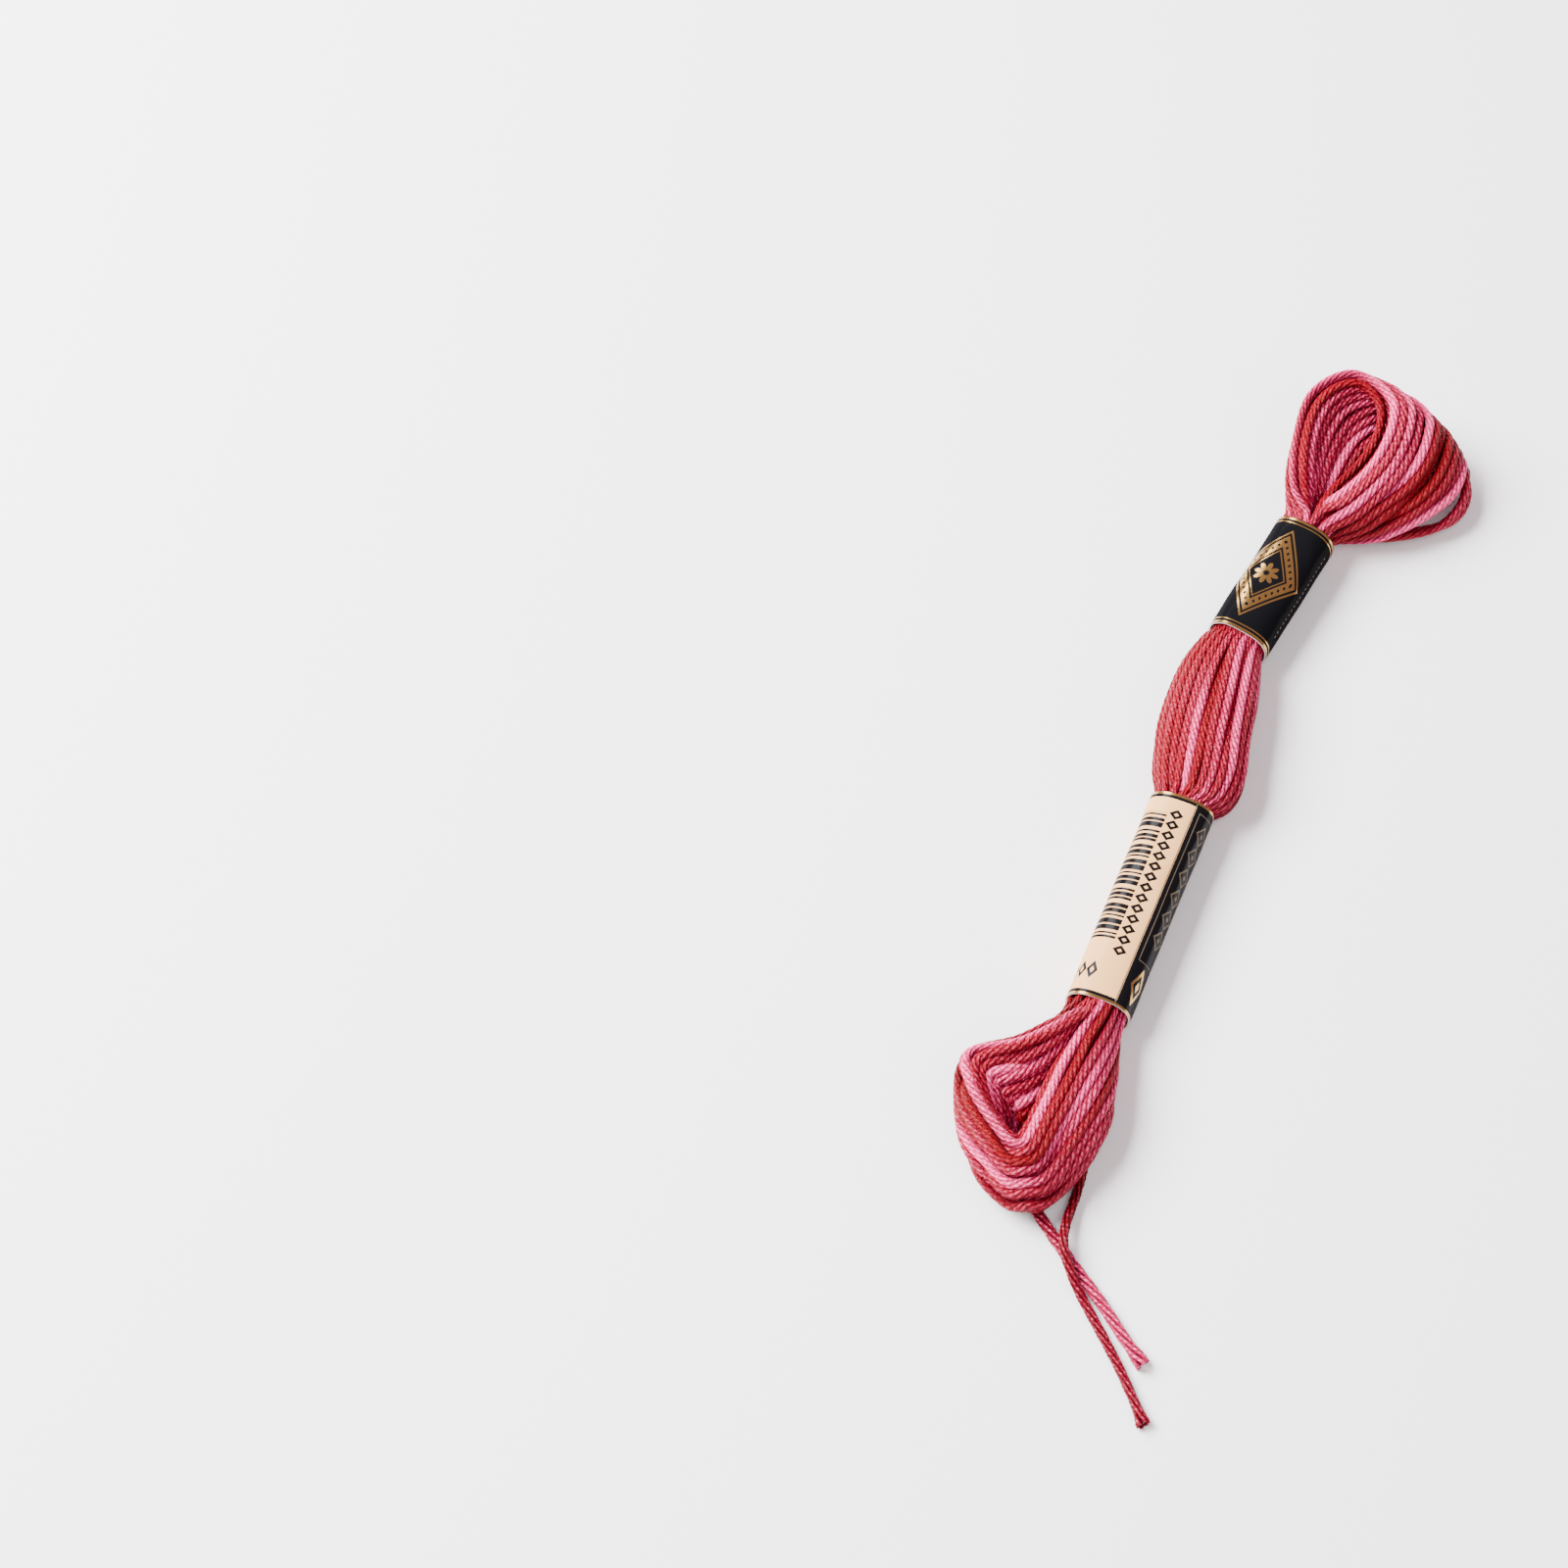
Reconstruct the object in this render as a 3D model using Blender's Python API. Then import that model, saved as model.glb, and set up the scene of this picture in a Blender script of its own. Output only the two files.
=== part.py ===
"""A skein of stranded embroidery floss, as solids.

The skein is one long thread wound into a flat hank and drawn through two
paper bands. It lies along Y on a surface at z = 0. Between the bands it
swells into a belly; past each band it opens into a loop, a slanting ribbon
of turns around an open eye. Two loose thread ends come out under the lower
loop. Blender, metres, +Z up; the tables below are in millimetres.
"""
import math

import bmesh
import bpy
import numpy as np

MM = 0.001

# The middle of the skein's box in the layout that the tables are written in
LAYOUT_MIDDLE = (0.1, 2.2)

GAP = 0.3                  # clearance between neighbouring solids
THREAD = 1.5               # diameter of the thread
RIB = 0.44                 # how far a raised row of thread stands out

# Paper bands: an oval sleeve with a flat spot underneath
PAPER = 0.35               # wall
BAND_WIDTH = 10.3
BAND_HEIGHT = 8.4
BAND_FLAT = 0.2            # cut off the oval's underside
BAND_ROUNDNESS = 2.5       # exponent of its superellipse
UPPER_BAND_ENDS = ((-5.97, 29.1), (-1.87, 52.3))
LOWER_BAND_ENDS = ((-5.52, -40.8), (-4.58, -2.9))

# The neck is the hank inside a band
NECK_WIDTH = BAND_WIDTH - 2 * (PAPER + GAP) - RIB
NECK_HEIGHT = BAND_HEIGHT - 2 * (PAPER + GAP) - RIB
NECK_Z = BAND_HEIGHT / 2

# The hank's sections
RING_POINTS = 40           # round the trunk, two to each raised row of thread
CHORD_POINTS = 13          # across the inner face of a loop's ribbon
TRUNK_ROUNDNESS = 2.3      # exponent of the trunk's superellipse
RIBBON_ROUNDNESS = 2.6     # exponent of the ribbon's lens section
SHARP_ANGLE = math.radians(30.0)
LOOP_STATIONS = 38
BLEND_STATIONS = 5         # stations over which a half trunk turns to ribbon
PARTING_STATIONS = 9       # stations over which the two legs part

# Trunk: middle x, y, z of a section, its width and height, and its lean, the
# angle in degrees by which the skein's axis turns from +Y towards +X there
TRUNK = (
    # x,    y,     z,   width, height, lean, stations to the next row
    (-1.7, 53.4, 4.65, 9.2, 7.6, 10.0, 1),
    (-1.85, 52.5, NECK_Z, NECK_WIDTH, NECK_HEIGHT, 10.0, 3),
    (-6.0, 28.9, NECK_Z, NECK_WIDTH, NECK_HEIGHT, 10.0, 2),
    (-6.3, 26.5, 4.65, 11.0, 8.4, 7.0, 3),
    (-6.3, 20.5, 4.95, 13.8, 9.6, 3.0, 4),
    (-5.5, 11.0, 5.00, 15.3, 10.0, -1.0, 3),
    (-4.1, 3.5, 4.95, 15.3, 9.7, -3.0, 2),
    (-3.7, -0.6, 4.70, 12.4, 8.7, -1.0, 2),
    (-4.6, -2.7, NECK_Z, NECK_WIDTH, NECK_HEIGHT, 1.4, 4),
    (-5.5, -41.0, NECK_Z, NECK_WIDTH, NECK_HEIGHT, 1.4, 1),
    (-5.6, -41.9, 4.65, 9.2, 7.6, 1.4, 0),
)

# Loops: a row is a section of the ribbon of turns, from the left half of the
# trunk round the crest to the right half. The near rim is its upper edge and
# the far rim the edge by the surface; crown lifts its middle outwards.
UPPER_LOOP = (
    # near rim x, y, z,    far rim x, y, z,    thickness, crown
    (-1.8, 53.3, 8.3, -1.6, 53.5, 1.0, 4.6, 2.3),
    (-5.4, 57.0, 10.4, 0.4, 58.8, 2.0, 4.6, 1.2),
    (-8.0, 64.5, 12.8, 3.6, 66.0, 2.0, 4.2, 0.8),
    (-7.4, 72.5, 14.4, 8.6, 72.4, 2.0, 3.8, 1.0),
    (-2.4, 78.5, 14.9, 15.5, 76.0, 1.8, 3.2, 1.6),
    (3.5, 75.3, 14.1, 20.0, 72.6, 1.8, 3.2, 1.6),
    (5.4, 66.7, 12.4, 20.0, 66.0, 1.8, 3.4, 1.0),
    (3.0, 58.4, 10.6, 12.4, 58.6, 2.0, 4.2, 0.8),
    (-1.8, 53.3, 8.3, -1.6, 53.5, 1.0, 4.6, 2.3),
)
LOWER_LOOP = (
    (-5.6, -41.9, 8.3, -5.6, -42.1, 1.0, 4.6, 2.3),
    (-9.6, -46.0, 10.4, -8.0, -46.6, 1.9, 4.4, 1.0),
    (-15.0, -52.2, 11.6, -13.2, -52.8, 1.9, 4.0, 0.6),
    (-19.0, -57.0, 12.1, -17.7, -60.5, 2.4, 3.4, 0.3),
    (-17.5, -61.8, 11.8, -16.2, -69.1, 3.0, 3.2, 0.5),
    (-13.0, -65.7, 11.0, -10.8, -74.6, 3.0, 3.0, 0.5),
    (-8.5, -67.6, 10.4, -4.0, -75.8, 2.9, 3.0, 0.5),
    (-7.6, -61.0, 10.0, 0.7, -68.8, 2.8, 3.4, 0.9),
    (-6.6, -52.7, 9.6, 3.4, -58.6, 2.0, 4.2, 1.4),
    (-5.6, -41.9, 8.3, -5.6, -42.1, 1.0, 4.6, 2.3),
)

# Loose ends: routes along the surface, from under the lower loop to the tip
LOOSE_END_A = (
    (0.8, -65.0, 1.35), (1.1, -69.1, 1.25), (1.3, -74.6, 1.95), (2.2, -78.4, 2.80),
    (4.3, -81.5, 2.40), (6.8, -84.1, 1.35), (9.5, -86.6, 0.85), (15.3, -92.3, 0.85),
    (19.7, -97.2, 0.85), (21.9, -99.9, 0.85),
)
LOOSE_END_B = (
    (-7.2, -71.0, 1.20), (-4.4, -73.2, 1.50), (-0.8, -76.0, 1.00), (3.1, -79.0, 0.85),
    (10.3, -84.3, 0.85), (14.9, -88.1, 0.85), (18.9, -91.1, 0.85),
)
ROUTE_STEP = 3.0

FLOSS = (0.62, 0.06, 0.13, 1.0)
FLOSS_END = (0.55, 0.02, 0.05, 1.0)
BLACK_PAPER = (0.012, 0.011, 0.011, 1.0)
CREAM_PAPER = (0.80, 0.66, 0.47, 1.0)


def clear_scene():
    """Takes every object out of the open scene."""
    for obj in list(bpy.data.objects):
        bpy.data.objects.remove(obj)


def material(name, colour, roughness):
    """A plain Principled finish."""
    finish = bpy.data.materials.new(name)
    finish.use_nodes = True
    shader = finish.node_tree.nodes["Principled BSDF"]
    shader.inputs["Base Color"].default_value = colour
    shader.inputs["Roughness"].default_value = roughness
    shader.inputs["Metallic"].default_value = 0.0
    return finish


def smooth_rows(rows, places):
    """Reads the rows of a table at fractional places along a smooth curve.

    Between two rows each column follows a cubic whose slope at a row is half
    the step from the row before to the row after.
    """
    rows = np.asarray(rows, float)
    last = len(rows) - 1
    start = np.minimum(places.astype(int), last - 1)
    t = (places - start)[:, None]
    before = rows[np.maximum(start - 1, 0)]
    here = rows[start]
    there = rows[start + 1]
    after = rows[np.minimum(start + 2, last)]
    slope_here = (there - before) / 2
    slope_there = (after - here) / 2
    rise = t * t * (3 - 2 * t)
    return (here + (there - here) * rise + slope_here * t * (1 - t) ** 2
            - slope_there * t * t * (1 - t))


def superellipse(angles, width, height, exponent):
    """Points of a superellipse: sideways and upward, at each angle."""
    cosine, sine = np.cos(angles), np.sin(angles)
    side = np.sign(cosine) * np.abs(cosine) ** (2 / exponent) * width / 2
    rise = np.sign(sine) * np.abs(sine) ** (2 / exponent) * height / 2
    return side, rise


def place_section(middle, lean, side, rise):
    """Stands a flat section up across an axis that leans from +Y to +X."""
    angle = math.radians(lean)
    x = middle[0] + side * math.cos(angle)
    y = middle[1] - side * math.sin(angle)
    z = middle[2] + rise
    return np.stack([x, y, z], axis=-1)


def ribs(count):
    """Rows of thread round a section: out on odd points, in on even ones."""
    return np.where(np.arange(count) % 2 == 1, RIB / 2, -RIB / 2)


def trunk_rings():
    """The trunk's rings, each from its top round the left side."""
    places = [np.linspace(row, row + 1, steps, endpoint=False)
              for row, (*_, steps) in enumerate(TRUNK) if steps]
    places = np.append(np.concatenate(places), len(TRUNK) - 1.0)
    angles = math.pi / 2 + 2 * math.pi * np.arange(RING_POINTS) / RING_POINTS
    rows = ribs(RING_POINTS)
    rings = []
    for x, y, z, width, height, lean, _ in smooth_rows(TRUNK, places):
        side, rise = superellipse(angles, width, height, TRUNK_ROUNDNESS)
        side = side + rows * np.cos(angles)
        rise = rise + rows * np.sin(angles)
        rings.append(place_section((x, y, z), lean, side, rise))
    return np.array(rings)


def ease(share):
    """A share from 0 to 1 that starts and ends level."""
    share = np.clip(share, 0.0, 1.0)
    return share * share * (3 - 2 * share)


def ribbon_rings(table, lean):
    """The sections of a loop's ribbon, from one rim to the other and back.

    A point lies between the rims, off the straight line from rim to rim by
    the crown's parabola and by half of the lens-shaped thickness, out for
    the outer face and in for the inner one. By the trunk, whose axis leans
    by the given angle, the offset turns to the trunk's own side and the
    inner face flattens, so that the two legs part cleanly.
    """
    station = np.arange(LOOP_STATIONS)
    rows = smooth_rows(table, station * (len(table) - 1) / (LOOP_STATIONS - 1))
    near, far = rows[:, 0:3], rows[:, 3:6]
    thickness, crown = rows[:, 6:7], rows[:, 7:8]
    middle = (near + far) / 2
    outward = np.cross(far - near, np.gradient(middle, axis=0))
    outward /= np.linalg.norm(outward, axis=1, keepdims=True)
    outward *= np.sign(np.sum(outward * (middle - middle.mean(axis=0))))
    from_trunk = np.minimum(station, station[::-1])[:, None]
    hold = 1 - ease(from_trunk / PARTING_STATIONS)
    angle = math.radians(lean)
    side = np.where(station[:, None] < LOOP_STATIONS / 2, -1.0, 1.0)
    side = side * np.array([math.cos(angle), -math.sin(angle), 0.0])
    outward = outward * (1 - hold) + side * hold
    outward /= np.linalg.norm(outward, axis=1, keepdims=True)

    half = RING_POINTS // 2
    out_angle = math.pi * np.arange(half + 1) / half
    back_angle = math.pi * np.arange(CHORD_POINTS, 0, -1) / (CHORD_POINTS + 1)
    turn = np.concatenate([out_angle, back_angle])
    across = (1 - np.cos(turn)) / 2
    lens = (1 - np.abs(np.cos(turn)) ** RIBBON_ROUNDNESS) ** (1 / RIBBON_ROUNDNESS)
    arch = crown * 4 * across * (1 - across)
    outer = arch + thickness / 2 * lens
    inner = (arch - thickness / 2 * lens) * (1 - hold)
    raised = np.concatenate([ribs(half + 1), ribs(CHORD_POINTS)])
    raised[[0, half]] = 0.0
    is_outer = np.arange(len(turn)) <= half
    offset = np.where(is_outer, outer + raised, inner - raised * (1 - hold))
    line = near[:, None] + (far - near)[:, None] * across[None, :, None]
    return line + outward[:, None] * offset[:, :, None]


def crotch_chord(ring):
    """Points from the bottom of a trunk's end ring up to its top."""
    top, bottom = ring[0], ring[RING_POINTS // 2]
    share = np.arange(1, CHORD_POINTS + 1)[:, None] / (CHORD_POINTS + 1)
    return bottom + (top - bottom) * share


def loop_rings(table, lean, ring):
    """A loop's rings, melting at both ends into halves of the trunk's ring."""
    half = RING_POINTS // 2
    chord = crotch_chord(ring)
    left = np.concatenate([ring[:half + 1], chord])
    right = np.concatenate([ring[:1], ring[:half - 1:-1], chord])
    rings = ribbon_rings(table, lean)
    for step in range(BLEND_STATIONS):
        share = ease(step / BLEND_STATIONS)
        rings[step] = left + (rings[step] - left) * share
        rings[-1 - step] = right + (rings[-1 - step] - right) * share
    return rings


def bridge(mesh, first, second):
    """Joins two rings of vertices with a row of four-sided faces."""
    for k in range(len(first)):
        after = (k + 1) % len(first)
        mesh.faces.new((first[k], first[after], second[after], second[k]))


def add_loop(mesh, rings, ring_vertices):
    """Adds a loop whose two ends share the trunk's ring and one chord."""
    half = RING_POINTS // 2
    chord = [mesh.verts.new(point) for point in rings[0][half + 1:]]
    previous = ring_vertices[:half + 1] + chord
    for ring in rings[1:-1]:
        current = [mesh.verts.new(point) for point in ring]
        bridge(mesh, previous, current)
        previous = current
    last = ring_vertices[:1] + ring_vertices[:half - 1:-1] + chord
    bridge(mesh, previous, last)


def finish_object(mesh, name, finish):
    """Settles a mesh in the part's frame and makes it a named object."""
    for vertex in mesh.verts:
        vertex.co.x = (vertex.co.x - LAYOUT_MIDDLE[0]) * MM
        vertex.co.y = (vertex.co.y - LAYOUT_MIDDLE[1]) * MM
        vertex.co.z = max(vertex.co.z, 0.0) * MM
    bmesh.ops.recalc_face_normals(mesh, faces=mesh.faces)
    if mesh.calc_volume(signed=True) < 0:
        bmesh.ops.reverse_faces(mesh, faces=mesh.faces)
    data = bpy.data.meshes.new(name)
    mesh.to_mesh(data)
    mesh.free()
    data.shade_smooth()
    data.set_sharp_from_angle(angle=SHARP_ANGLE)
    data.materials.append(finish)
    obj = bpy.data.objects.new(name, data)
    bpy.context.collection.objects.link(obj)
    return obj


def build_hank(finish):
    """The wound thread: trunk and both loops, one body with two open eyes."""
    mesh = bmesh.new()
    rings = trunk_rings()
    vertices = [[mesh.verts.new(point) for point in ring] for ring in rings]
    for first, second in zip(vertices, vertices[1:]):
        bridge(mesh, first, second)
    upper_lean, lower_lean = TRUNK[0][5], TRUNK[-1][5]
    add_loop(mesh, loop_rings(UPPER_LOOP, upper_lean, rings[0]), vertices[0])
    add_loop(mesh, loop_rings(LOWER_LOOP, lower_lean, rings[-1]), vertices[-1])
    return finish_object(mesh, "hank", finish)


def build_band(name, ends, finish):
    """A paper sleeve: an outer and an inner wall joined at both ends.

    The oval is lowered by the flat spot's depth, and what would lie below
    the surface, or inside it below the wall's thickness, is pressed flat.
    """
    (x0, y0), (x1, y1) = ends
    lean = math.degrees(math.atan2(x1 - x0, y1 - y0))
    angles = 2 * math.pi * np.arange(RING_POINTS) / RING_POINTS
    oval_height = BAND_HEIGHT + BAND_FLAT
    middle = oval_height / 2 - BAND_FLAT
    mesh = bmesh.new()
    walls = []
    for inset in (0.0, PAPER):
        side, rise = superellipse(
            angles, BAND_WIDTH - 2 * inset, oval_height - 2 * inset, BAND_ROUNDNESS)
        rise = np.maximum(rise, inset - middle)
        wall = []
        for x, y in ends:
            points = place_section((x, y, middle), lean, side, rise)
            wall.append([mesh.verts.new(point) for point in points])
        bridge(mesh, wall[0], wall[1])
        walls.append(wall)
    bridge(mesh, walls[0][0], walls[1][0])
    bridge(mesh, walls[0][1], walls[1][1])
    return finish_object(mesh, name, finish)


def build_loose_end(name, route, finish):
    """A thread end as a tube along a smooth curve through its route."""
    dense = smooth_rows(route, np.linspace(0, len(route) - 1, 200))
    run = np.linalg.norm(np.diff(dense, axis=0), axis=1)
    run = np.concatenate([[0.0], np.cumsum(run)])
    count = round(run[-1] / ROUTE_STEP) + 1
    stations = np.linspace(0, run[-1], count)
    points = np.stack([np.interp(stations, run, column) for column in dense.T], axis=1)
    curve = bpy.data.curves.new(name, "CURVE")
    curve.dimensions = "3D"
    curve.bevel_depth = THREAD / 2 * MM
    curve.bevel_resolution = 2
    curve.use_fill_caps = True
    spline = curve.splines.new("POLY")
    spline.points.add(count - 1)
    for place, (x, y, z) in zip(spline.points, points):
        place.co = ((x - LAYOUT_MIDDLE[0]) * MM, (y - LAYOUT_MIDDLE[1]) * MM, z * MM, 1.0)
    curve.materials.append(finish)
    obj = bpy.data.objects.new(name, curve)
    bpy.context.collection.objects.link(obj)
    return obj


def main():
    clear_scene()
    build_hank(material("floss", FLOSS, 0.55))
    build_band("upper_band", UPPER_BAND_ENDS, material("black paper", BLACK_PAPER, 0.25))
    build_band("lower_band", LOWER_BAND_ENDS, material("cream paper", CREAM_PAPER, 0.35))
    thread_end = material("floss end", FLOSS_END, 0.55)
    build_loose_end("loose_end_a", LOOSE_END_A, thread_end)
    build_loose_end("loose_end_b", LOOSE_END_B, thread_end)


main()
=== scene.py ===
"""Dresses the skein of embroidery floss: its turns of twisted thread, the two
paper bands and the loose ends, on a pale floor in soft light.

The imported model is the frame. Tables are in the layout's millimetres, as in
the part's source; place() takes them to the frame's metres.
"""
import math

import bpy
import numpy as np
from bpy.props import FloatProperty, FloatVectorProperty, PointerProperty
from mathutils import Matrix


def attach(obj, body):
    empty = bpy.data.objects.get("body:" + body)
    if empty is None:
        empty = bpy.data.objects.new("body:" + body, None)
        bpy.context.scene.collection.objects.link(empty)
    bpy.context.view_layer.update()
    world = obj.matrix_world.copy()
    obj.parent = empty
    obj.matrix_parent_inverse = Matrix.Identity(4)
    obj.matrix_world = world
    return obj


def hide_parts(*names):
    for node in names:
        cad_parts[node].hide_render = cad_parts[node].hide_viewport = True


bl_info = {
    "name": "Skein of embroidery floss",
    "version": (1, 0, 0),
    "blender": (4, 5, 0),
    "location": "3D View > Sidebar > Skein",
    "description": "Makes a skein of stranded floss with two paper bands",
    "category": "Add Mesh",
}

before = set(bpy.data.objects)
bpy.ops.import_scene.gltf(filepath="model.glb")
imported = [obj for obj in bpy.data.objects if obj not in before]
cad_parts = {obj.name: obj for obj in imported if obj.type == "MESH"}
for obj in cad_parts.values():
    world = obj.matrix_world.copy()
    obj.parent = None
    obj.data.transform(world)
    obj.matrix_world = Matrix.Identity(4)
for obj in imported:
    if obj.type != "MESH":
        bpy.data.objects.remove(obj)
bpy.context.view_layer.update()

MM = 0.001
LAYOUT_MIDDLE = np.array([0.1, 2.2, 0.0])
UP = np.array([0.0, 0.0, 1.0])

# ---- The thread

STRANDS = 6  # strands laid up in one thread
RING_POINTS = 18  # three to a strand: a valley and two shoulders
VALLEY = 0.86  # radius in the groove between two strands
PLY_LENGTH = 0.95  # mm between two crossings of a strand's plies
RING_STEP = 0.42  # mm between rings of a turn
CONTACT = 0.93  # how close two soft threads lie, in their diameters
MOUTH_RADIUS = 0.75  # how far a band squeezes a thread, in its radius
MOUTH_START = 4.0  # mm from a thread's end at which it swells again
MOUTH_RUN = 11.0  # mm over which it does
UNEVEN_LENGTH = 18.0  # stations over which a thread's thickness wanders
UNEVEN = 0.05  # share of it
TURN_FLAT = (0.95, 1.13)  # how high and wide a loop's turns are pressed
BELLY_FLAT = (0.92, 1.08)  # and the belly's
BACK_PAINTED_LIGHT = 0.75  # how strongly a thread's back is painted lit, against its front
BACK_FROM = 0.55  # cosine to the back above which it is painted lit
BACK_RISE = 0.30  # and how much further it is so in full
EYE_PAINTED_LIGHT = 0.35  # power that paints more of the turns facing an eye as lit

# How turns find their places
SETTLE_STEPS = 420
SETTLE_PUSH = 0.30  # share of an overlap that a step takes away
SETTLE_EVEN = 0.35  # share by which a turn is evened out
SETTLE_DRAW = 0.015  # share by which it is drawn to its aim
STRAY_LENGTH = 30.0  # mm of a turn's slow stray sideways

# Paper bands: their outside is as in the part's source
BAND_WIDTH = 10.3
BAND_HEIGHT = 8.4
BAND_FLAT = 0.2  # cut off the oval's underside
BAND_ROUNDNESS = 2.5  # exponent of the oval
BAND_AROUND = 120  # points round a band
BAND_ALONG = 56  # and along it
UPPER_BAND_ENDS = ((-5.97, 29.1), (-1.87, 52.3))
LOWER_BAND_ENDS = ((-5.52, -40.8), (-4.58, -2.9))
UPPER_BAND_LENGTH = round(math.dist(*UPPER_BAND_ENDS), 2)
LOWER_BAND_LENGTH = round(math.dist(*LOWER_BAND_ENDS), 2)
PAPER = 0.24  # wall of a band
PAPER_WAVES = ((2, 0.05), (3, 0.05), (5, 0.035), (7, 0.02))  # waves round, mm
WAVES_ALONG = 0.55  # to each wave round
SHARP_ANGLE = math.radians(40)
FOIL_METAL = 0.97  # how metallic the gold print is
COAT_ROUGHNESS = 0.16  # of the varnish
BLACK_VARNISH = 0.04  # weight of the varnish on each band
CREAM_VARNISH = 0.22

TRUNK_ROUNDNESS = 2.3  # exponents of the superellipses
RIBBON_ROUNDNESS = 2.6
NECK = (4.2, 9.3, 7.3)  # height of its middle, width and height in a band

# Sections of the belly: middle x, y, z, width, height and lean in degrees
BELLY = (
    (-5.15, 34.0, *NECK, 10.0),
    (-6.0, 28.9, *NECK, 10.0),
    (-6.3, 26.5, 4.65, 11.0, 8.4, 7.0),
    (-6.3, 20.5, 4.95, 13.8, 9.6, 3.0),
    (-5.5, 11.0, 5.00, 15.3, 10.0, -1.0),
    (-4.1, 3.5, 4.95, 15.3, 9.7, -3.0),
    (-3.7, -0.6, 4.70, 12.4, 8.7, -1.0),
    (-4.6, -2.7, *NECK, 1.4),
    (-4.75, -7.5, *NECK, 1.4),
)
BELLY_STATIONS = 57
BELLY_RINGS = (27, 15, 10)  # turns in the outer ring, under it, and in the core
BELLY_RING_SIZES = (1.0, 0.62, 0.28)
BELLY_STRAY = 0.11  # radians by which its turns wander round
BELLY_SIZE_STRAY = 0.07  # how far they wander in or out, in its size
BELLY_SIZE_LENGTH = 34.0  # mm over which they do
BELLY_SEEDS = (24, 22, 23)  # of its turns' places, of their twist, and of inner dyes

# Sections of the loops' ribbons, from inside the band round to it again:
# near rim x, y, z, far rim x, y, z, thickness, crown, and how far the inner
# turns crowd into the eye at the near and the far rim
UPPER_MOUTH = (
    (-2.8, 47.0, 7.8, -2.8, 47.0, 0.6, 4.65, 2.32, 0.0, 0.0),
    (-1.8, 53.3, 8.3, -1.6, 53.5, 1.0, 4.8, 2.4, 0.0, 0.0),
)
UPPER_LOOP = UPPER_MOUTH + (
    (-6.4, 57.1, 10.7, 0.4, 58.8, 2.0, 4.6, 1.2, 1.6, 2.0),
    (-8.6, 64.5, 13.0, 3.6, 66.0, 2.0, 4.2, 0.8, 0.5, 1.5),
    (-8.7, 73.0, 14.5, 8.6, 72.4, 2.0, 3.8, 1.0, 0.3, 1.0),
    (-3.4, 79.0, 14.8, 15.7, 76.1, 1.8, 3.2, 1.6, 0.6, 0.5),
    (3.9, 75.9, 14.1, 20.5, 72.5, 1.8, 3.2, 1.6, 2.0, 0.5),
    (4.7, 66.7, 12.4, 20.5, 65.7, 1.8, 3.4, 1.0, 4.2, 1.0),
    (1.9, 58.5, 10.6, 12.4, 58.6, 2.0, 4.2, 0.8, 4.0, 2.0),
) + UPPER_MOUTH[::-1]
LOWER_MOUTH = (
    (-5.4, -36.0, 7.8, -5.4, -36.0, 0.6, 4.65, 2.32, 0.0, 0.0),
    (-5.6, -41.9, 8.3, -5.6, -42.1, 1.0, 4.8, 2.4, 0.0, 0.0),
)
LOWER_LOOP = LOWER_MOUTH + (
    (-8.8, -46.4, 10.3, -7.4, -47.0, 1.9, 4.4, 1.0, 0.5, 2.5),
    (-13.9, -52.9, 11.6, -11.8, -53.4, 1.9, 4.0, 0.6, 0.8, 7.0),
    (-20.4, -57.5, 12.1, -17.9, -60.5, 2.4, 3.4, 0.3, 1.0, 10.0),
    (-18.3, -62.0, 11.9, -16.2, -69.1, 3.0, 3.2, 0.5, 0.5, 10.0),
    (-13.3, -66.2, 11.2, -10.8, -74.6, 3.0, 3.0, 0.5, 0.8, 8.5),
    (-8.7, -67.9, 10.4, -4.0, -75.8, 2.9, 3.0, 0.5, 1.2, 6.5),
    (-7.8, -61.0, 10.0, 0.7, -68.8, 2.8, 3.4, 0.9, 1.5, 3.0),
    (-7.3, -52.7, 9.6, 3.4, -58.6, 2.0, 4.2, 1.4, 1.5, 2.5),
) + LOWER_MOUTH[::-1]
LOOP_STATIONS = 91
UPPER_LEAN = 10.0  # degrees from +Y towards +X, of the band's axis
LOWER_LEAN = 1.4
UPPER_COUNTS = (13, 11)  # turns of the outer face and of the inner one
LOWER_COUNTS = (10, 12)
UPPER_SEEDS = (13, 12)  # of its turns' places, and of their twist and dye
LOWER_SEEDS = (31, 32)
UPPER_EASING = 50  # times that inner turns draw their bends round
LOWER_EASING = 18
UPPER_STRAY = 0.045  # how far turns wander, in the ribbon's width
LOWER_STRAY = 0.065
LAYER_LENGTH = 36.0  # mm over which they wander between the two faces
LAYER_STRAY = 0.55
INNER_TILT = 1.1  # how far the inner turns, and their painted light, face towards the near rim
PARTING_ROWS = 2.0  # rows past the band over which the two legs part
LEGS_PART = 16.0  # mm by which a leg's turns may cross the middle there
PARTED_TURNS = 2  # turns at the upper loop's far rim that part from it
SLIT_PLACE = 0.70  # share of the loop at which they do
SLIT_REACH = 0.19
SLIT_WIDTH = 2.0  # mm
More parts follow.
